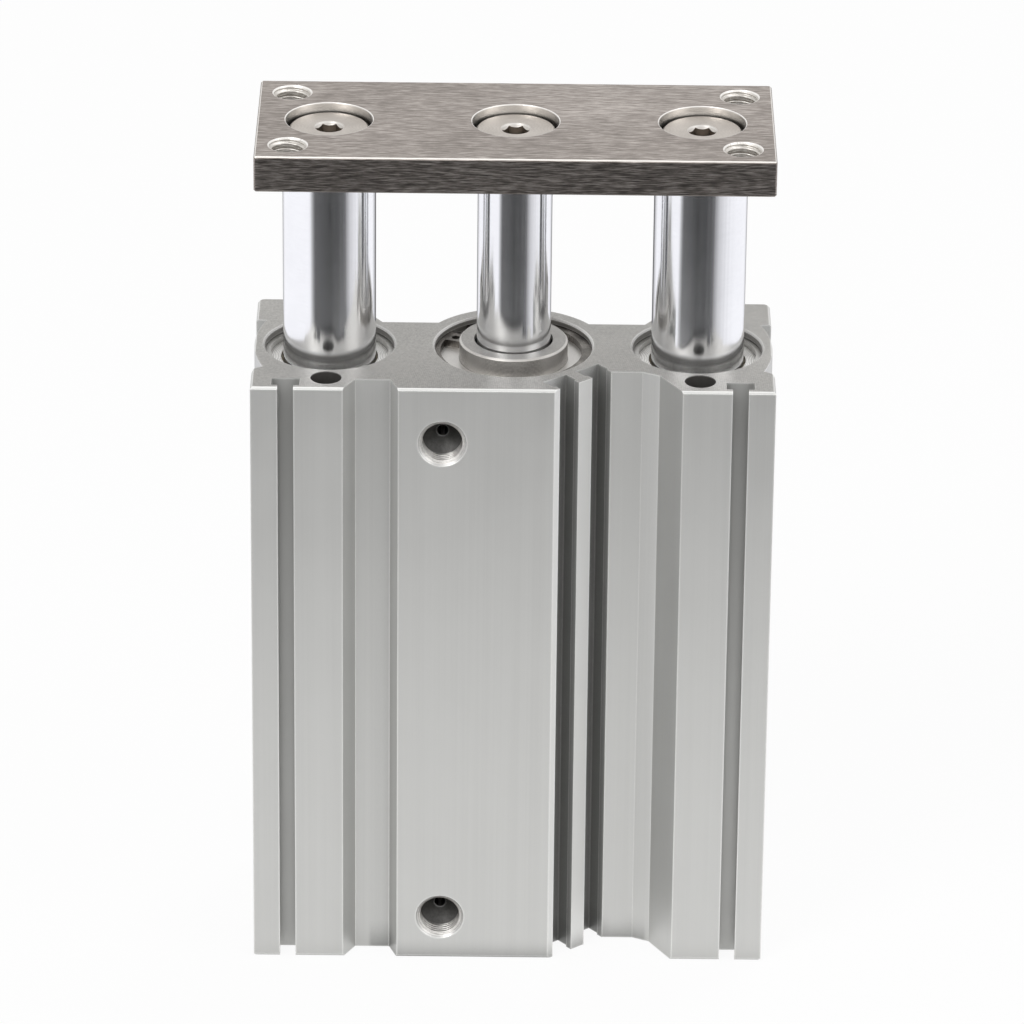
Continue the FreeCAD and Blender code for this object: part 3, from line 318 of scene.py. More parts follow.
def anodisedBody(spec):
    f = Finish("clear_anodised_extrusion")

    # Where each sort of face lies.
    upright = f.size(f.nz)
    onEnd = f.fade(upright, 0.90, 0.98)
    onBreak = f.times(f.fade(upright, 0.45, 0.60), f.fade(upright, 0.90, 0.82),
                      f.beyond(f.z, bodyTop - spec["breakTall"], 0.04 * mm))
    flatX, flatY = spec["slantedFlat"]
    onFlat = f.times(f.within(f.size(f.less(f.nx, flatX)), 0.06, 0.02),
                     f.within(f.size(f.less(f.ny, flatY)), 0.06, 0.02))
    besideGuide = f.less(f.size(f.x), guideX)
    inBore = f.most(f.within(f.reach(f.x, f.y), spec["middleBore"], 0.05 * mm),
                    f.within(f.reach(besideGuide, f.y), spec["guideBore"], 0.05 * mm))
    besideHole = f.less(f.size(f.y), baseHoles["y"])
    acrossHole = f.less(f.size(f.x), baseHoles["x"])
    inHole = f.within(f.reach(acrossHole, besideHole), spec["longHole"], 0.025 * mm)
    nearSensors = f.within(f.size(f.x), spec["sensorZone"], 0.5 * mm)

    # The ports: walls, the drill point, and a painted pool of light on it below the middle.
    inPort, onPoint, portFloorLight = 0.0, 0.0, 0.0
    inFront = f.within(f.y, spec["portsAhead"], 0.5 * mm)
    for level in ports["levels"]:
        rise = f.less(f.z, level)
        near = f.reach(f.less(f.x, ports["x"]), rise)
        wall = f.times(f.within(near, spec["portMouth"], 0.025 * mm),
                       f.fade(f.size(f.ny), 0.99, 0.97), inFront)
        point = f.times(f.within(near, spec["portPoint"], 0.15 * mm), inFront,
                        f.beyond(f.y, bodyFront + spec["portDepth"], 0.25 * mm))
        below = f.size(f.add(rise, 5 * mm))
        inPort = f.most(inPort, wall)
        onPoint = f.most(onPoint, point)
        portFloorLight = f.most(portFloorLight, f.fade(below, 4.2 * mm, 1.6 * mm, 0.10, 0.24))
    drilled = f.most(inBore, inPort)

    # Drawn faces: lines along the extrusion.
    fine = f.noise(f.stretch((1, 1, 0.003)), 1 / spec["lineWidth"], 4, 0.7)
    broad = f.noise(f.stretch((1, 1, 0.01)), 1 / spec["broadLine"], 3, 0.6)
    cloud = f.noise(f.point, 45, 4, 0.6)
    grain = f.noise(f.point, 1 / spec["grain"], 2, 0.6)
    skin = f.ramp(f.weighed((fine, 0.25), (broad, 0.30), (cloud, 0.20), (grain, 0.25)),
                  (0.28, toned(spec["skin"], 0.91)),
                  (0.52, spec["skin"]),
                  (0.75, toned(spec["skin"], 1.06)))
    # Painted light: the slanted face, found by its normal, takes the lighter colour.
    skin = f.mix(onFlat, skin, spec["flat"])

    # Milled ends: arcs about a far centre, under fine sand.
    sand = f.noise(f.point, 1 / spec["sand"], 2, 0.6)
    farAway = f.reach(f.add(f.x, spec["cutterRadius"]), f.add(f.y, 0.4 * spec["cutterRadius"]))
    sweep = f.rings(farAway, spec["cutterPitch"], f.times(f.noise(f.point, 300, 2), 3.0))
    sawn = f.ramp(f.weighed((sweep, 0.07), (sand, 0.60), (cloud, 0.33)),
                  (0.36, toned(spec["sawn"], 0.80)), (0.64, toned(spec["sawn"], 1.18)))

    # Bored walls: fine bands.
    marks = f.rings(f.z, spec["boreMarks"], f.times(f.noise(f.point, 500, 2), 4.0))
    bored = f.ramp(f.weighed((marks, 0.3), (cloud, 0.3), (grain, 0.4)),
                   (0.25, toned(spec["bored"], 0.70)), (0.75, toned(spec["bored"], 1.10)))

    sheltered = f.sheltered(spec["shelter"], 0.85)
    shade = f.mix(nearSensors, spec["shade"], spec["sensorShade"])
    walls = f.mix(drilled, f.mix(sheltered, skin, shade), f.mix(sheltered, bored, spec["boreShade"]))
    # The drill point: painted shade, lightened below its middle by the painted light.
    mottled = f.mix(f.noise(f.point, 1400, 4, 0.75), spec["portFloorShade"], spec["bored"])
    walls = f.mix(onPoint, walls, f.mix(portFloorLight, spec["portFloorShade"], mottled))
    # Painted shade: the walls of the long holes take the dark deep colour.
    colour = f.mix(onEnd, f.mix(inHole, walls, spec["deep"]), sawn)
    # Painted highlight: the edge colour mixed in near edges and on the broken edges, weaker on the ends and
    # in sheltered places.
    edge = f.times(f.nearEdge(spec["edgeRadius"]), f.blend(onEnd, 0.65, 0.15))
    edge = f.most(f.times(onBreak, spec["breakShare"]), edge)
    edge = f.times(edge, f.less(1.0, f.times(sheltered, 0.6)))
    height = f.blend(onEnd, f.blend(drilled, f.weighed((fine, 0.4), (grain, 0.6)), f.times(marks, 0.8)),
                     f.weighed((sweep, 0.08), (grain, 0.7)))
    rough = f.blend(onEnd, f.spread(f.weighed((fine, 0.5), (cloud, 0.5)), 0.34, 0.50),
                    f.spread(cloud, 0.38, 0.50))
    return f.done(Base_Color=f.mix(edge, colour, spec["edge"]), Metallic=spec["metal"], Roughness=rough,
                  Normal=f.bump(height, spec["lineDepth"]))


# Brushed plate.

plateLook = {
    "dark": (0.15, 0.128, 0.110),
    "middle": (0.285, 0.250, 0.225),
    "light": (0.56, 0.51, 0.475),
    "frontDark": (0.11, 0.100, 0.092),       # the same on the front and back
    "frontMiddle": (0.255, 0.230, 0.211),
    "frontLight": (0.54, 0.495, 0.465),
    "rim": (0.98, 0.955, 0.92),           # cut walls of pockets and holes, painted bright as if lit
    "rimBackShade": (0.34, 0.31, 0.28),        # painted shade: a darker copy where they face away from the front
    "rimShade": (0.06, 0.052, 0.045),     # and low in the pockets, beside the screws
    "edge": (0.86, 0.83, 0.79),           # painted highlight on the top bevels
    "pocket": 9.505 * mm,                 # radii of the cut walls and their bevels
    "hole": 4.30 * mm,
    "edgeTall": 0.235 * mm,
    "streakLong": 3.4 * mm,
    "streakThick": 0.20 * mm,
    "hairThick": 0.07 * mm,
    "turning": 0.22 * mm,
    "shelter": 2.6 * mm,
    "streakDepth": 0.010 * mm,
}


def brushedPlate(spec):
    f = Finish("brushed_plate_steel")
    onSide = f.fade(f.size(f.nx), 0.6, 0.8)
    along, thick, hair = 1 / spec["streakLong"], 1 / spec["streakThick"], 1 / spec["hairThick"]

    def streaks(across, shift, detail):
        # The grinding belt runs along X, and along Y on the two short sides.
        mostly = f.noise(f.stretch((along, across, across), shift), 1, detail, 0.62)
        sideways = f.noise(f.stretch((across, along, across), shift), 1, detail, 0.62)
        return f.blend(onSide, mostly, sideways)

    bold = streaks(thick, (3.1, 0.7, 1.9), 3)
    hairs = streaks(hair, (1.3, 5.2, 4.4), 2)
    cloud = f.noise(f.point, 60, 3, 0.5)
    patch = f.noise(f.stretch((1, 1.4, 1), (4, 7, 1)), 26, 2, 0.5)
    grey = f.weighed((bold, 0.58), (hairs, 0.26), (cloud, 0.06), (patch, 0.10))
    top = f.ramp(grey, (0.385, spec["dark"]), (0.50, spec["middle"]), (0.60, spec["light"]))
    front = f.ramp(grey, (0.40, spec["frontDark"]), (0.50, spec["frontMiddle"]), (0.60, spec["frontLight"]))
    ground = f.mix(f.fade(f.size(f.ny), 0.6, 0.9), top, front)

    # Cut walls: the three pockets and the four holes.
    fromScrew = f.reach(f.math("WRAP", f.x, guideX / 2, -guideX / 2), f.y)
    fromHole = f.reach(f.less(f.size(f.x), plateHoles["x"]), f.less(f.size(f.y), plateHoles["y"]))
    cut = f.most(f.within(fromScrew, spec["pocket"], 0.025 * mm),
                 f.within(fromHole, spec["hole"], 0.03 * mm))
    turning = f.rings(f.add(fromScrew, f.z), spec["turning"], f.times(cloud, 3.0))
    rim = f.ramp(f.weighed((turning, 0.6), (cloud, 0.4)),
                 (0.2, toned(spec["rim"], 0.75)), (0.8, spec["rim"]))
    # Painted light and shade: walls facing the front stay bright, walls facing away take the darker copy.
    rim = f.mix(f.fade(f.ny, 0.05, 0.45), rim, spec["rimBackShade"])
    rim = f.mix(f.sheltered(spec["shelter"], 0.80), rim, spec["rimShade"])

    # Painted highlight on the top bevels, off the cut walls.
    edge = f.times(f.bevelled(), f.less(1.0, cut), f.beyond(f.z, plateTop - spec["edgeTall"], 0.035 * mm))
    rough = f.blend(cut, f.spread(grey, 0.28, 0.46), 0.34)
    height = f.blend(cut, f.weighed((bold, 1.0), (hairs, 0.5)), f.times(turning, 0.5))
    return f.done(Base_Color=f.mix(edge, f.mix(cut, ground, rim), spec["edge"]), Metallic=1.0,
                  Roughness=rough, Normal=f.bump(height, spec["streakDepth"]))


# Turned and plated metals.

chromeLook = {
    "dark": (0.86, 0.865, 0.88), "light": (0.95, 0.955, 0.965),
    "blur": 0.9, "turned": 0.25,          # reflections are drawn out along the rod
    "roughness": (0.10, 0.14),
    "bandScale": (300, 300, 9000), "cloudScale": 70,
    "depth": 0.0006 * mm,
}
coverLook = {
    "name": "turned_aluminium",
    "dark": (0.22, 0.212, 0.20), "light": (0.42, 0.408, 0.39),
    "pitch": 0.28 * mm, "pitchAlong": 0.30 * mm,     # of the rings on its faces, the bands on its walls
    "centreStep": 10,                                # metres between the axes that it is turned about
    "roughness": 0.36, "depth": 0.005 * mm, "contrast": 0.10, "wallLightGain": 1.75, "metal": 0.72,
    "nose": 11.75 * mm,                              # the flange outside this radius is brighter
    "flange": (0.95, 0.93, 0.90), "flangeShare": 0.5,
}
screwLook = {
    "name": "nickelled_steel",
    "dark": (0.40, 0.367, 0.333), "light": (0.58, 0.537, 0.495),
    "pitch": 0.30 * mm, "pitchAlong": 0.25 * mm, "centreStep": guideX,
    "roughness": 0.36, "depth": 0.006 * mm, "contrast": 0.14, "wallLightGain": 1.5, "metal": 1.0,
    # painted shade in the hexagon socket: dark on its walls, nearly black in its corners
    "socket": (0.30, 0.26, 0.22), "socketCornerShade": (0.02, 0.017, 0.014),
    "socketRadius": 2.96 * mm, "socketShelter": 1.6 * mm,
}
holderLook = {
    "name": "zinc_plated_steel",
    "dark": (0.42, 0.415, 0.40), "light": (0.86, 0.85, 0.83),
    "pitch": 0.35 * mm, "pitchAlong": 0.35 * mm, "centreStep": guideX,
    "roughness": 0.36, "depth": 0.006 * mm, "contrast": 0.08, "wallLightGain": 1.5, "metal": 1.0,
}
# Painted highlight on the small bevels of turned parts.
turnedBevelHighlight = {"colour": (0.68, 0.66, 0.63), "share": 0.8}


def groundChrome(spec):
    f = Finish("hard_chrome")
    fine = f.noise(f.stretch(spec["bandScale"]), 1, 3, 0.6)
    cloud = f.noise(f.point, spec["cloudScale"], 4, 0.6)
    grey = f.weighed((fine, 0.5), (cloud, 0.5))
    tint = f.ramp(grey, (0.30, spec["dark"]), (0.70, spec["light"]))
    return f.done(Base_Color=tint, Metallic=1.0, Roughness=f.spread(grey, *spec["roughness"]),
                  Anisotropic=spec["blur"], Anisotropic_Rotation=spec["turned"],
                  Normal=f.bump(fine, spec["depth"]))


def turnedFace(spec):
    # Metal turned about axes centreStep apart along X: rings on the faces, fine bands on the walls.
    f = Finish(spec["name"])
    across = f.math("WRAP", f.x, spec["centreStep"] / 2, -spec["centreStep"] / 2)
    fromAxis = f.reach(across, f.y)
    onFace = f.fade(f.size(f.nz), 0.5, 0.8)
    cloud = f.noise(f.point, 240, 3, 0.6)
    speckle = f.noise(f.point, 2600, 3, 0.6)
    wobble = f.times(cloud, 2.0)
    marks = f.blend(onFace, f.rings(f.z, spec["pitchAlong"], wobble),
                    f.rings(fromAxis, spec["pitch"], wobble))
    grey = f.weighed((marks, 0.25), (cloud, 0.35), (speckle, 0.40))
    low, high = 0.5 - spec["contrast"], 0.5 + spec["contrast"]
    # Painted light: the walls take lighter copies of the face colours.
    wallDark, wallLight = (toned(spec[tone], spec["wallLightGain"], 0.9) for tone in ("dark", "light"))
    tint = f.mix(onFace, f.ramp(grey, (low, wallDark), (high, wallLight)),
                 f.ramp(grey, (low, spec["dark"]), (high, spec["light"])))
    tint = f.mix(f.times(f.bevelled(), turnedBevelHighlight["share"]), tint, turnedBevelHighlight["colour"])
    if "nose" in spec:
        flange = f.times(f.beyond(fromAxis, spec["nose"] + 0.05 * mm, 0.05 * mm), onFace)
        tint = f.mix(f.times(flange, spec["flangeShare"]), tint, spec["flange"])
    if "socket" in spec:
        # Painted shade on the walls of the hexagon socket, nearly black in its corners.
        inside = f.times(f.within(fromAxis, spec["socketRadius"], 0.04 * mm), f.less(1.0, onFace))
        corner = f.sheltered(spec["socketShelter"], 1.0)
        tint = f.mix(inside, tint, f.mix(corner, spec["socket"], spec["socketCornerShade"]))
    return f.done(Base_Color=tint, Metallic=spec["metal"],
                  Roughness=f.spread(grey, spec["roughness"] - 0.05, spec["roughness"] + 0.06),
                  Normal=f.bump(marks, spec["depth"]))


springLook = {
    "blued": ((0.34, (0.055, 0.051, 0.046)), (0.52, (0.17, 0.158, 0.143)), (0.68, (0.40, 0.385, 0.36))),
    "plain": ((0.30, (0.32, 0.315, 0.30)), (0.75, (0.62, 0.61, 0.59))),
    "plainShade": (0.10, 0.097, 0.09), "shelter": 1.3 * mm,
    "plainBeyond": 21 * mm,               # from the middle, where the guides' rings begin
    "stampScale": 2600, "cloudScale": 220,
    "metal": 0.95, "roughness": (0.30, 0.48), "depth": 0.004 * mm,
}


def springSteel(spec):
    # Blued on the middle bore's rings, plain on those of the guides.
    f = Finish("blued_spring_steel")
    stamped = f.noise(f.stretch((1, 1, 0.3)), spec["stampScale"], 4, 0.6)
    cloud = f.noise(f.point, spec["cloudScale"], 3, 0.6)
    grey = f.weighed((stamped, 0.45), (cloud, 0.55))
    plain = f.mix(f.sheltered(spec["shelter"], 0.75), f.ramp(grey, *spec["plain"]), spec["plainShade"])
    outer = f.beyond(f.size(f.x), spec["plainBeyond"], 1 * mm)
    return f.done(Base_Color=f.mix(outer, f.ramp(grey, *spec["blued"]), plain), Metallic=spec["metal"],
                  Roughness=f.spread(cloud, *spec["roughness"]), Normal=f.bump(stamped, spec["depth"]))


bronzeLook = {
    "tints": ((0.32, (0.20, 0.115, 0.045)), (0.52, (0.45, 0.28, 0.12)), (0.75, (0.60, 0.40, 0.19))),
    "poreScale": 5200, "cloudScale": 190,
    "metal": 0.95, "roughness": (0.28, 0.50), "depth": 0.006 * mm,
}


def sinteredBronze(spec):
    f = Finish("oiled_bronze")
    pores = f.noise(f.point, spec["poreScale"], 2, 0.5)
    cloud = f.noise(f.point, spec["cloudScale"], 4, 0.6)
    tint = f.ramp(f.weighed((pores, 0.5), (cloud, 0.5)), *spec["tints"])
    return f.done(Base_Color=tint, Metallic=spec["metal"], Roughness=f.spread(pores, *spec["roughness"]),
                  Normal=f.bump(pores, spec["depth"]))


# Rubber, plastic and felt.

sealLook = {
    "name": "nitrile_rubber", "dark": (0.014, 0.014, 0.015), "light": (0.040, 0.040, 0.042),
    "roughness": 0.52, "grainScale": 2600, "depth": 0.010 * mm,
}
wearLook = {
    "name": "filled_slide_plastic", "dark": (0.10, 0.065, 0.035), "light": (0.17, 0.115, 0.065),
    "roughness": 0.42, "grainScale": 1800, "depth": 0.006 * mm,
}
magnetLook = {
    "name": "magnet_compound", "dark": (0.030, 0.028, 0.028), "light": (0.075, 0.070, 0.068),
    "roughness": 0.48, "grainScale": 3400, "depth": 0.008 * mm,
}
feltLook = {
    "tints": ((0.28, (0.16, 0.13, 0.085)), (0.50, (0.36, 0.31, 0.22)), (0.72, (0.56, 0.50, 0.38))),
    "fibreScale": (1400, 1400, 4200), "tuftScale": 700,
    "roughness": (0.78, 0.98), "sheen": 0.35, "sheenRoughness": 0.5, "depth": 0.06 * mm,
}


def softMoulding(spec):
    # Moulded rubber or plastic: a matt skin with fine grain and a faint bloom.
    f = Finish(spec["name"])
    grain = f.noise(f.point, spec["grainScale"], 3, 0.6)
    bloom = f.noise(f.point, 160, 4, 0.65)
    tint = f.ramp(f.weighed((grain, 0.35), (bloom, 0.65)), (0.30, spec["dark"]), (0.72, spec["light"]))
    return f.done(Base_Color=tint, Metallic=0.0,
                  Roughness=f.spread(bloom, spec["roughness"] - 0.08, spec["roughness"] + 0.10),
                  Normal=f.bump(grain, spec["depth"]))


def oiledFelt(spec):
    f = Finish("oiled_wool_felt")
    fibres = f.noise(f.stretch(spec["fibreScale"]), 1, 6, 0.75)
    tufts = f.noise(f.point, spec["tuftScale"], 5, 0.7)
    tint = f.ramp(f.weighed((fibres, 0.6), (tufts, 0.4)), *spec["tints"])
    return f.done(Base_Color=tint, Metallic=0.0, Roughness=f.spread(tufts, *spec["roughness"]),
                  Sheen_Weight=spec["sheen"], Sheen_Roughness=spec["sheenRoughness"],
                  Normal=f.bump(fibres, spec["depth"]))


materials = {
    "anodised_body": anodisedBody(bodyLook),
    "plate_steel": brushedPlate(plateLook),
    "rod_chrome": groundChrome(chromeLook),
    "cover_aluminium": turnedFace(coverLook),
    "screw_nickel": turnedFace(screwLook),
    "holder_metal": turnedFace(holderLook),
    "ring_steel": springSteel(springLook),
    "bush_bronze": sinteredBronze(bronzeLook),
    "seal_rubber": softMoulding(sealLook),
    "wear_plastic": softMoulding(wearLook),
    "magnet_plastic": softMoulding(magnetLook),
    "felt_wool": oiledFelt(feltLook),
}


def dressNodes():
    # Each node of the frame takes the finish of its slot in the record.
    for part in frame["record"]["subparts"]:
        owner = frame["nodes"][part["node"]]
        for place in owner.material_slots:
            place.material = materials[part["material_slot"]]


dressNodes()
print("finishes:", len(materials))


# Threads in the tapped holes.

threads = {
    "coarse": {"root": 4.0 * mm, "crest": 3.35 * mm, "pitch": 1.25 * mm},
    "pipe": {"root": 4.85 * mm, "crest": 4.28 * mm, "pitch": 0.907 * mm},
    "around": 64, "perPitch": 12,         # grid points
    "clear": 0.01 * mm,                   # from the hole's wall
    "wall": 0.03 * mm,                    # of the sleeve, past the root
    "runOut": 0.6,                        # of a pitch, in which the ridge rises from each end
    "holeBevel": 0.25 * mm, "portBevel": 0.45 * mm,
    "baseLong": 12 * mm, "backLong": 9.5 * mm, "portLong": 4.65 * mm,
}
threadLook = {
    "plate_steel": ("cut_plate_thread", (0.46, 0.44, 0.41), (0.78, 0.75, 0.71)),
    "anodised_body": ("cut_body_thread", (0.42, 0.41, 0.395), (0.82, 0.80, 0.77)),
}


def cutThread(name, dark, light):
    f = Finish(name)
    scratch = f.noise(f.point, 2600, 3, 0.6)
    cloud = f.noise(f.point, 400, 3, 0.6)
    tint = f.ramp(f.weighed((scratch, 0.5), (cloud, 0.5)), (0.3, dark), (0.7, light))
    return f.done(Base_Color=tint, Metallic=1.0, Roughness=f.spread(scratch, 0.34, 0.48),
                  Normal=f.bump(scratch, 0.003 * mm))


threadFinish = {slotName: cutThread(*look) for slotName, look in threadLook.items()}


def closedSurface(name, points):
    # Rows and columns of points, both of which close on themselves, as one skin facing outwards.
    rows, columns = points.shape[:2]
    row, column = np.meshgrid(np.arange(rows), np.arange(columns), indexing="ij")
    nextRow, nextColumn = (row + 1) % rows, (column + 1) % columns
    faces = np.stack([row * columns + column, row * columns + nextColumn,
                      nextRow * columns + nextColumn, nextRow * columns + column], -1).reshape(-1, 4)
    spots = points.reshape(-1, 3)
    a, b, c, d = (spots[faces[:, corner]] for corner in range(4))
    volume = np.einsum("ij,ij->", a, np.cross(b, c)) + np.einsum("ij,ij->", a, np.cross(c, d))
    if volume < 0:
        faces = faces[:, ::-1]
    mesh = bpy.data.meshes.new(name)
    mesh.from_pydata(spots, [], faces)
    mesh.update()
    made = bpy.data.objects.new(name, mesh)
    scene.collection.objects.link(made)
    return made


def threadSleeve(name, thread, mouth, inward, length, body, slotName):
    # The wall of a tapped hole. Its radius is the root's less the ridge: the ridge rises where the
    # depth, less one pitch for each turn round the axis, falls near the middle of a pitch.
    inward = Vector(inward)
    side = inward.orthogonal().normalized()
    other = inward.cross(side)
    steps = int(round(length / thread["pitch"] * threads["perPitch"]))
    depth = np.linspace(0, length, steps + 1)[:, None]
    turn = np.linspace(0, 2 * np.pi, threads["around"], endpoint=False)[None, :]
    phase = np.mod(depth / thread["pitch"] - turn / (2 * np.pi), 1)
    ridge = np.clip((0.95 - np.abs(2 * phase - 1)) / 0.5, 0, 1)
    nearEnd = np.minimum(depth, length - depth) / (threads["runOut"] * thread["pitch"])
    ridge = ridge * np.clip(nearEnd, 0, 1)
    radius = thread["root"] - (thread["root"] - thread["crest"]) * ridge - threads["clear"]
    # Two more rows close the sleeve behind the ridge.
    radius = np.vstack([radius, np.full((2, threads["around"]), thread["root"] + threads["wall"])])
    depth = np.vstack([depth, [[length], [0]]]) + 0 * turn
    turn = turn + 0 * depth
    points = (np.array(mouth) + depth[..., None] * np.array(inward)
              + (radius * np.cos(turn))[..., None] * np.array(side)
              + (radius * np.sin(turn))[..., None] * np.array(other))
    sleeve = closedSurface(name, points)
    sleeve.data.materials.append(threadFinish[slotName])
    sleeve.data.polygons.foreach_set("use_smooth", np.ones(len(sleeve.data.polygons), bool))
    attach(sleeve, body)


def makeThreads(spec):
    bevel = spec["holeBevel"]
    for side, word in ((-1, "left"), (1, "right")):
        for deep, place in ((-1, "front"), (1, "rear")):
            threadSleeve(f"plate_thread_{word}_{place}", spec["coarse"],
                         (side * plateHoles["x"], deep * plateHoles["y"], plateTop - bevel), (0, 0, -1),
                         plateTop - plateUnder - 2 * bevel, "carriage", "plate_steel")
            threadSleeve(f"base_thread_{word}_{place}", spec["coarse"],
                         (side * baseHoles["x"], deep * baseHoles["y"], bevel), (0, 0, 1),
                         spec["baseLong"], "housing", "anodised_body")
        for level, place in zip(backHoles["levels"], ("upper", "lower")):
            threadSleeve(f"back_thread_{word}_{place}", spec["coarse"],
                         (side * backHoles["x"], bodyBack - bevel, level), (0, -1, 0),
                         spec["backLong"], "housing", "anodised_body")
    for level, place in zip(ports["levels"], ("rod", "head")):
        threadSleeve(f"port_thread_{place}_end", spec["pipe"],
                     (ports["x"], bodyFront + spec["portBevel"], level), (0, 1, 0),
                     spec["portLong"], "housing", "anodised_body")


makeThreads(threads)
print("threads cut")


# Studio: floor, cards, world and lamps.

studio = {
    "floorSize": 8.0,
    "floorPaint": (0.86, 0.86, 0.86),
    "floorWhite": 0.93,          # share of the floor that shines white to the camera and in reflections
    "worldForLight": 0.55,
    "cardNear": 0.27, "cardFar": 3.8, "cardHeight": 0.5 * mm,
    "cardSteps": 96,
    "cardBlue": 1.04,
    "cardStreaks": 11.0, "cardUneven": (0.65, 1.35),
    "cardShades": (              # degrees from straight in front, brightness
        (-180, 0.12), (-165, 0.16), (-150, 0.70), (-138, 1.0), (-52, 1.0), (-45, 0.50), (-39, 0.12),
        (-21, 0.078), (0, 0.046), (20, 0.072), (37, 0.14), (43, 0.42), (50, 0.62), (62, 0.80), (78, 0.93),
        (98, 1.0), (138, 1.0), (150, 0.70), (165, 0.16), (180, 0.12),
    ),
    "lamps": (                   # name, place, size, watts
        ("key_softbox", (-0.9, -1.1, 1.5), 0.9, 14),
        ("fill_softbox", (1.3, -0.6, 1.0), 1.2, 6),
        ("back_softbox", (0.6, 1.0, 2.2), 1.0, 8),
    ),
    "lampsAimAt": (0, 0, 0.09),
}


def unlitShare(tree):
    # 1 for rays from the camera and for reflected and refracted rays, 0 for light that falls on things.
    rays = tree.nodes.new("ShaderNodeLightPath")
    first = tree.nodes.new("ShaderNodeMath")
    first.operation = "MAXIMUM"
    tree.links.new(rays.outputs["Is Camera Ray"], first.inputs[0])
    tree.links.new(rays.outputs["Is Glossy Ray"], first.inputs[1])
    second = tree.nodes.new("ShaderNodeMath")
    second.operation = "MAXIMUM"
    tree.links.new(first.outputs[0], second.inputs[0])
    tree.links.new(rays.outputs["Is Transmission Ray"], second.inputs[1])
    return second.outputs[0]


def makeWorld():
    world = bpy.data.worlds.new("white_studio")
    scene.world = world
    world.use_nodes = True
    tree = world.node_tree
    tree.nodes.clear()
    plain = tree.nodes.new("ShaderNodeBackground")
    plain.inputs["Strength"].default_value = studio["worldForLight"]
    white = tree.nodes.new("ShaderNodeBackground")
    mixed = tree.nodes.new("ShaderNodeMixShader")
    output = tree.nodes.new("ShaderNodeOutputWorld")
    for ground in (plain, white):
        ground.inputs["Color"].default_value = (1, 1, 1, 1)
    tree.links.new(unlitShare(tree), mixed.inputs[0])
    tree.links.new(plain.outputs[0], mixed.inputs[1])
    tree.links.new(white.outputs[0], mixed.inputs[2])
    tree.links.new(mixed.outputs[0], output.inputs[0])


def makeFloor():
    half = studio["floorSize"] / 2
    mesh = bpy.data.meshes.new("floor")
    mesh.from_pydata([(-half, -half, 0), (half, -half, 0), (half, half, 0), (-half, half, 0)],
                     [], [(0, 1, 2, 3)])
    floor = bpy.data.objects.new("floor", mesh)
    scene.collection.objects.link(floor)
    paint = bpy.data.materials.new("pale_floor")
    paint.use_nodes = True
    tree = paint.node_tree
    tree.nodes.clear()
    matt = tree.nodes.new("ShaderNodeBsdfDiffuse")
    matt.inputs["Color"].default_value = (*studio["floorPaint"], 1)
    glow = tree.nodes.new("ShaderNodeEmission")
    glow.inputs["Color"].default_value = (1, 1, 1, 1)
    share = tree.nodes.new("ShaderNodeMath")
    share.operation = "MULTIPLY"
    tree.links.new(unlitShare(tree), share.inputs[0])
    share.inputs[1].default_value = studio["floorWhite"]
    mixed = tree.nodes.new("ShaderNodeMixShader")
    output = tree.nodes.new("ShaderNodeOutputMaterial")
    tree.links.new(share.outputs[0], mixed.inputs[0])
    tree.links.new(matt.outputs[0], mixed.inputs[1])
    tree.links.new(glow.outputs[0], mixed.inputs[2])
    tree.links.new(mixed.outputs[0], output.inputs[0])
    mesh.materials.append(paint)


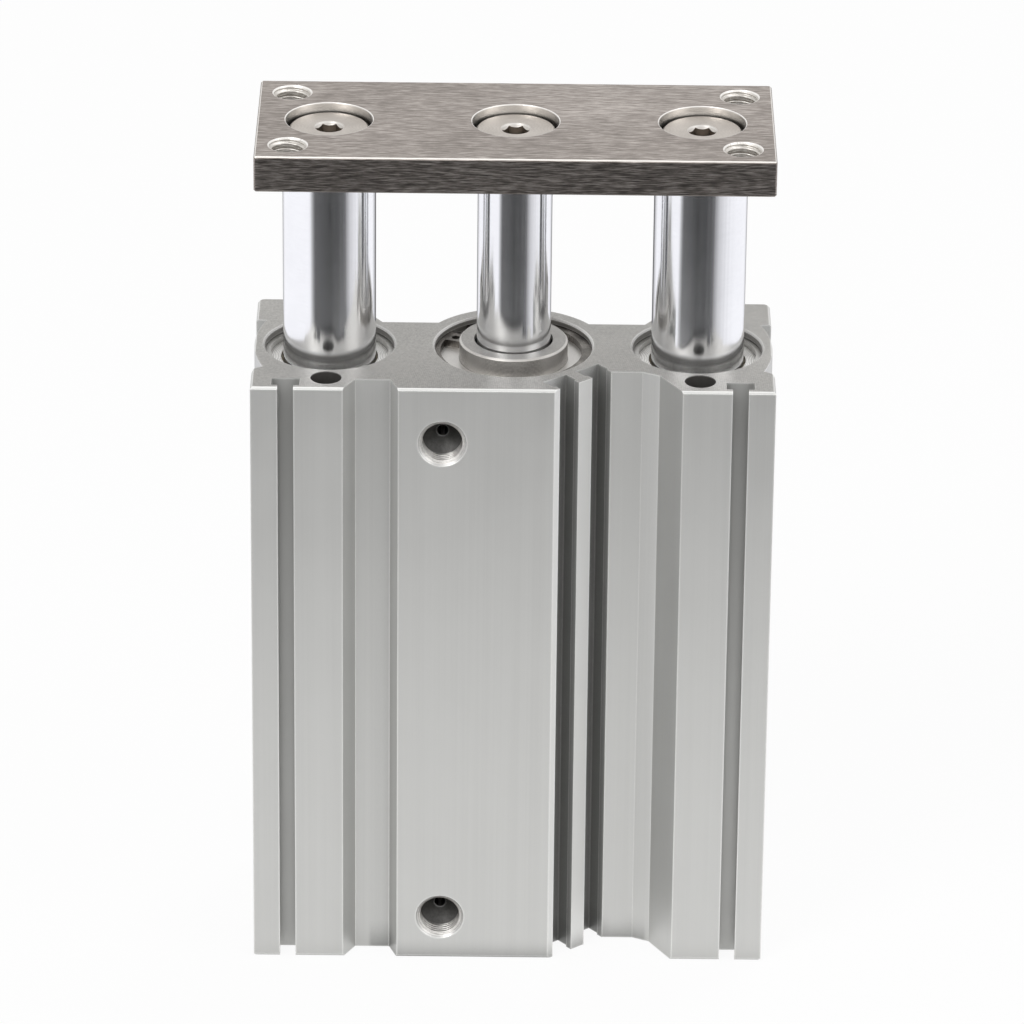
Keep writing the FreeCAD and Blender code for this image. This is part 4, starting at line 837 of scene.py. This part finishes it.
def makeCard():
    # A dark ring lying on the floor, seen only in the object's reflections. Its points lie at the sine
    # and minus the cosine of the angle from straight in front, times the near or the far radius.
    turn = np.radians(np.linspace(-180, 180, studio["cardSteps"] + 1))
    around = np.stack([np.sin(turn), -np.cos(turn), 0 * turn], -1)
    lift = np.array([0, 0, studio["cardHeight"]])
    spots = np.concatenate([around * studio["cardNear"], around * studio["cardFar"]]) + lift
    first = np.arange(len(turn) - 1)
    faces = np.stack([first, first + len(turn), first + len(turn) + 1, first + 1], -1)
    mesh = bpy.data.meshes.new("dark_card")
    mesh.from_pydata(spots, [], faces)
    card = bpy.data.objects.new("dark_card", mesh)
    scene.collection.objects.link(card)
    paint = bpy.data.materials.new("card_grey")
    paint.use_nodes = True
    tree = paint.node_tree
    tree.nodes.clear()

    def made(kind, *links, **values):
        node = tree.nodes.new(kind)
        for name, value in values.items():
            setattr(node, name, value)
        for source, socket in links:
            if isinstance(source, bpy.types.NodeSocket):
                tree.links.new(source, node.inputs[socket])
            else:
                node.inputs[socket].default_value = source
        return node

    place = made("ShaderNodeTexCoord")
    split = made("ShaderNodeSeparateXYZ", (place.outputs["Object"], 0))
    ahead = made("ShaderNodeMath", (split.outputs[1], 0), (-1.0, 1), operation="MULTIPLY")
    angle = made("ShaderNodeMath", (split.outputs[0], 0), (ahead.outputs[0], 1), operation="ARCTAN2")
    across = made("ShaderNodeMapRange", (angle.outputs[0], 0), (-math.pi, 1), (math.pi, 2))
    ramp = made("ShaderNodeValToRGB", (across.outputs[0], 0))
    stops = ramp.color_ramp.elements
    for index, (degrees, shade) in enumerate(studio["cardShades"]):
        spot = (degrees + 180) / 360
        stop = stops[index] if index < 2 else stops.new(spot)
        stop.position = spot
        stop.color = (shade, shade, studio["cardBlue"] * shade, 1)
    # Streaks from the middle outwards, plain where the card is bright.
    streaks = made("ShaderNodeTexNoise", (angle.outputs[0], "W"), (studio["cardStreaks"], "Scale"),
                   noise_dimensions="1D")
    low, high = studio["cardUneven"]
    strength = made("ShaderNodeMapRange", (streaks.outputs[0], "Value"), (0.3, "From Min"),
                    (0.7, "From Max"), (low, "To Min"), (high, "To Max"))
    bright = made("ShaderNodeMix", (ramp.outputs[0], 0), (strength.outputs[0], 2), (1.0, 3))
    glow = made("ShaderNodeEmission", (ramp.outputs[0], "Color"), (bright.outputs[0], "Strength"))
    made("ShaderNodeOutputMaterial", (glow.outputs[0], "Surface"))
    mesh.materials.append(paint)
    for kind in ("camera", "diffuse", "shadow", "transmission", "volume_scatter"):
        setattr(card, "visible_" + kind, False)


def makeLamps():
    for name, place, size, watts in studio["lamps"]:
        data = bpy.data.lights.new(name, "AREA")
        data.shape = "DISK"
        data.size = size
        data.energy = watts
        lamp = bpy.data.objects.new(name, data)
        scene.collection.objects.link(lamp)
        lamp.location = place
        aim = Vector(studio["lampsAimAt"]) - Vector(place)
        lamp.rotation_euler = aim.to_track_quat("-Z", "Y").to_euler()


makeWorld()
makeFloor()
makeCard()
makeLamps()
print("studio set")
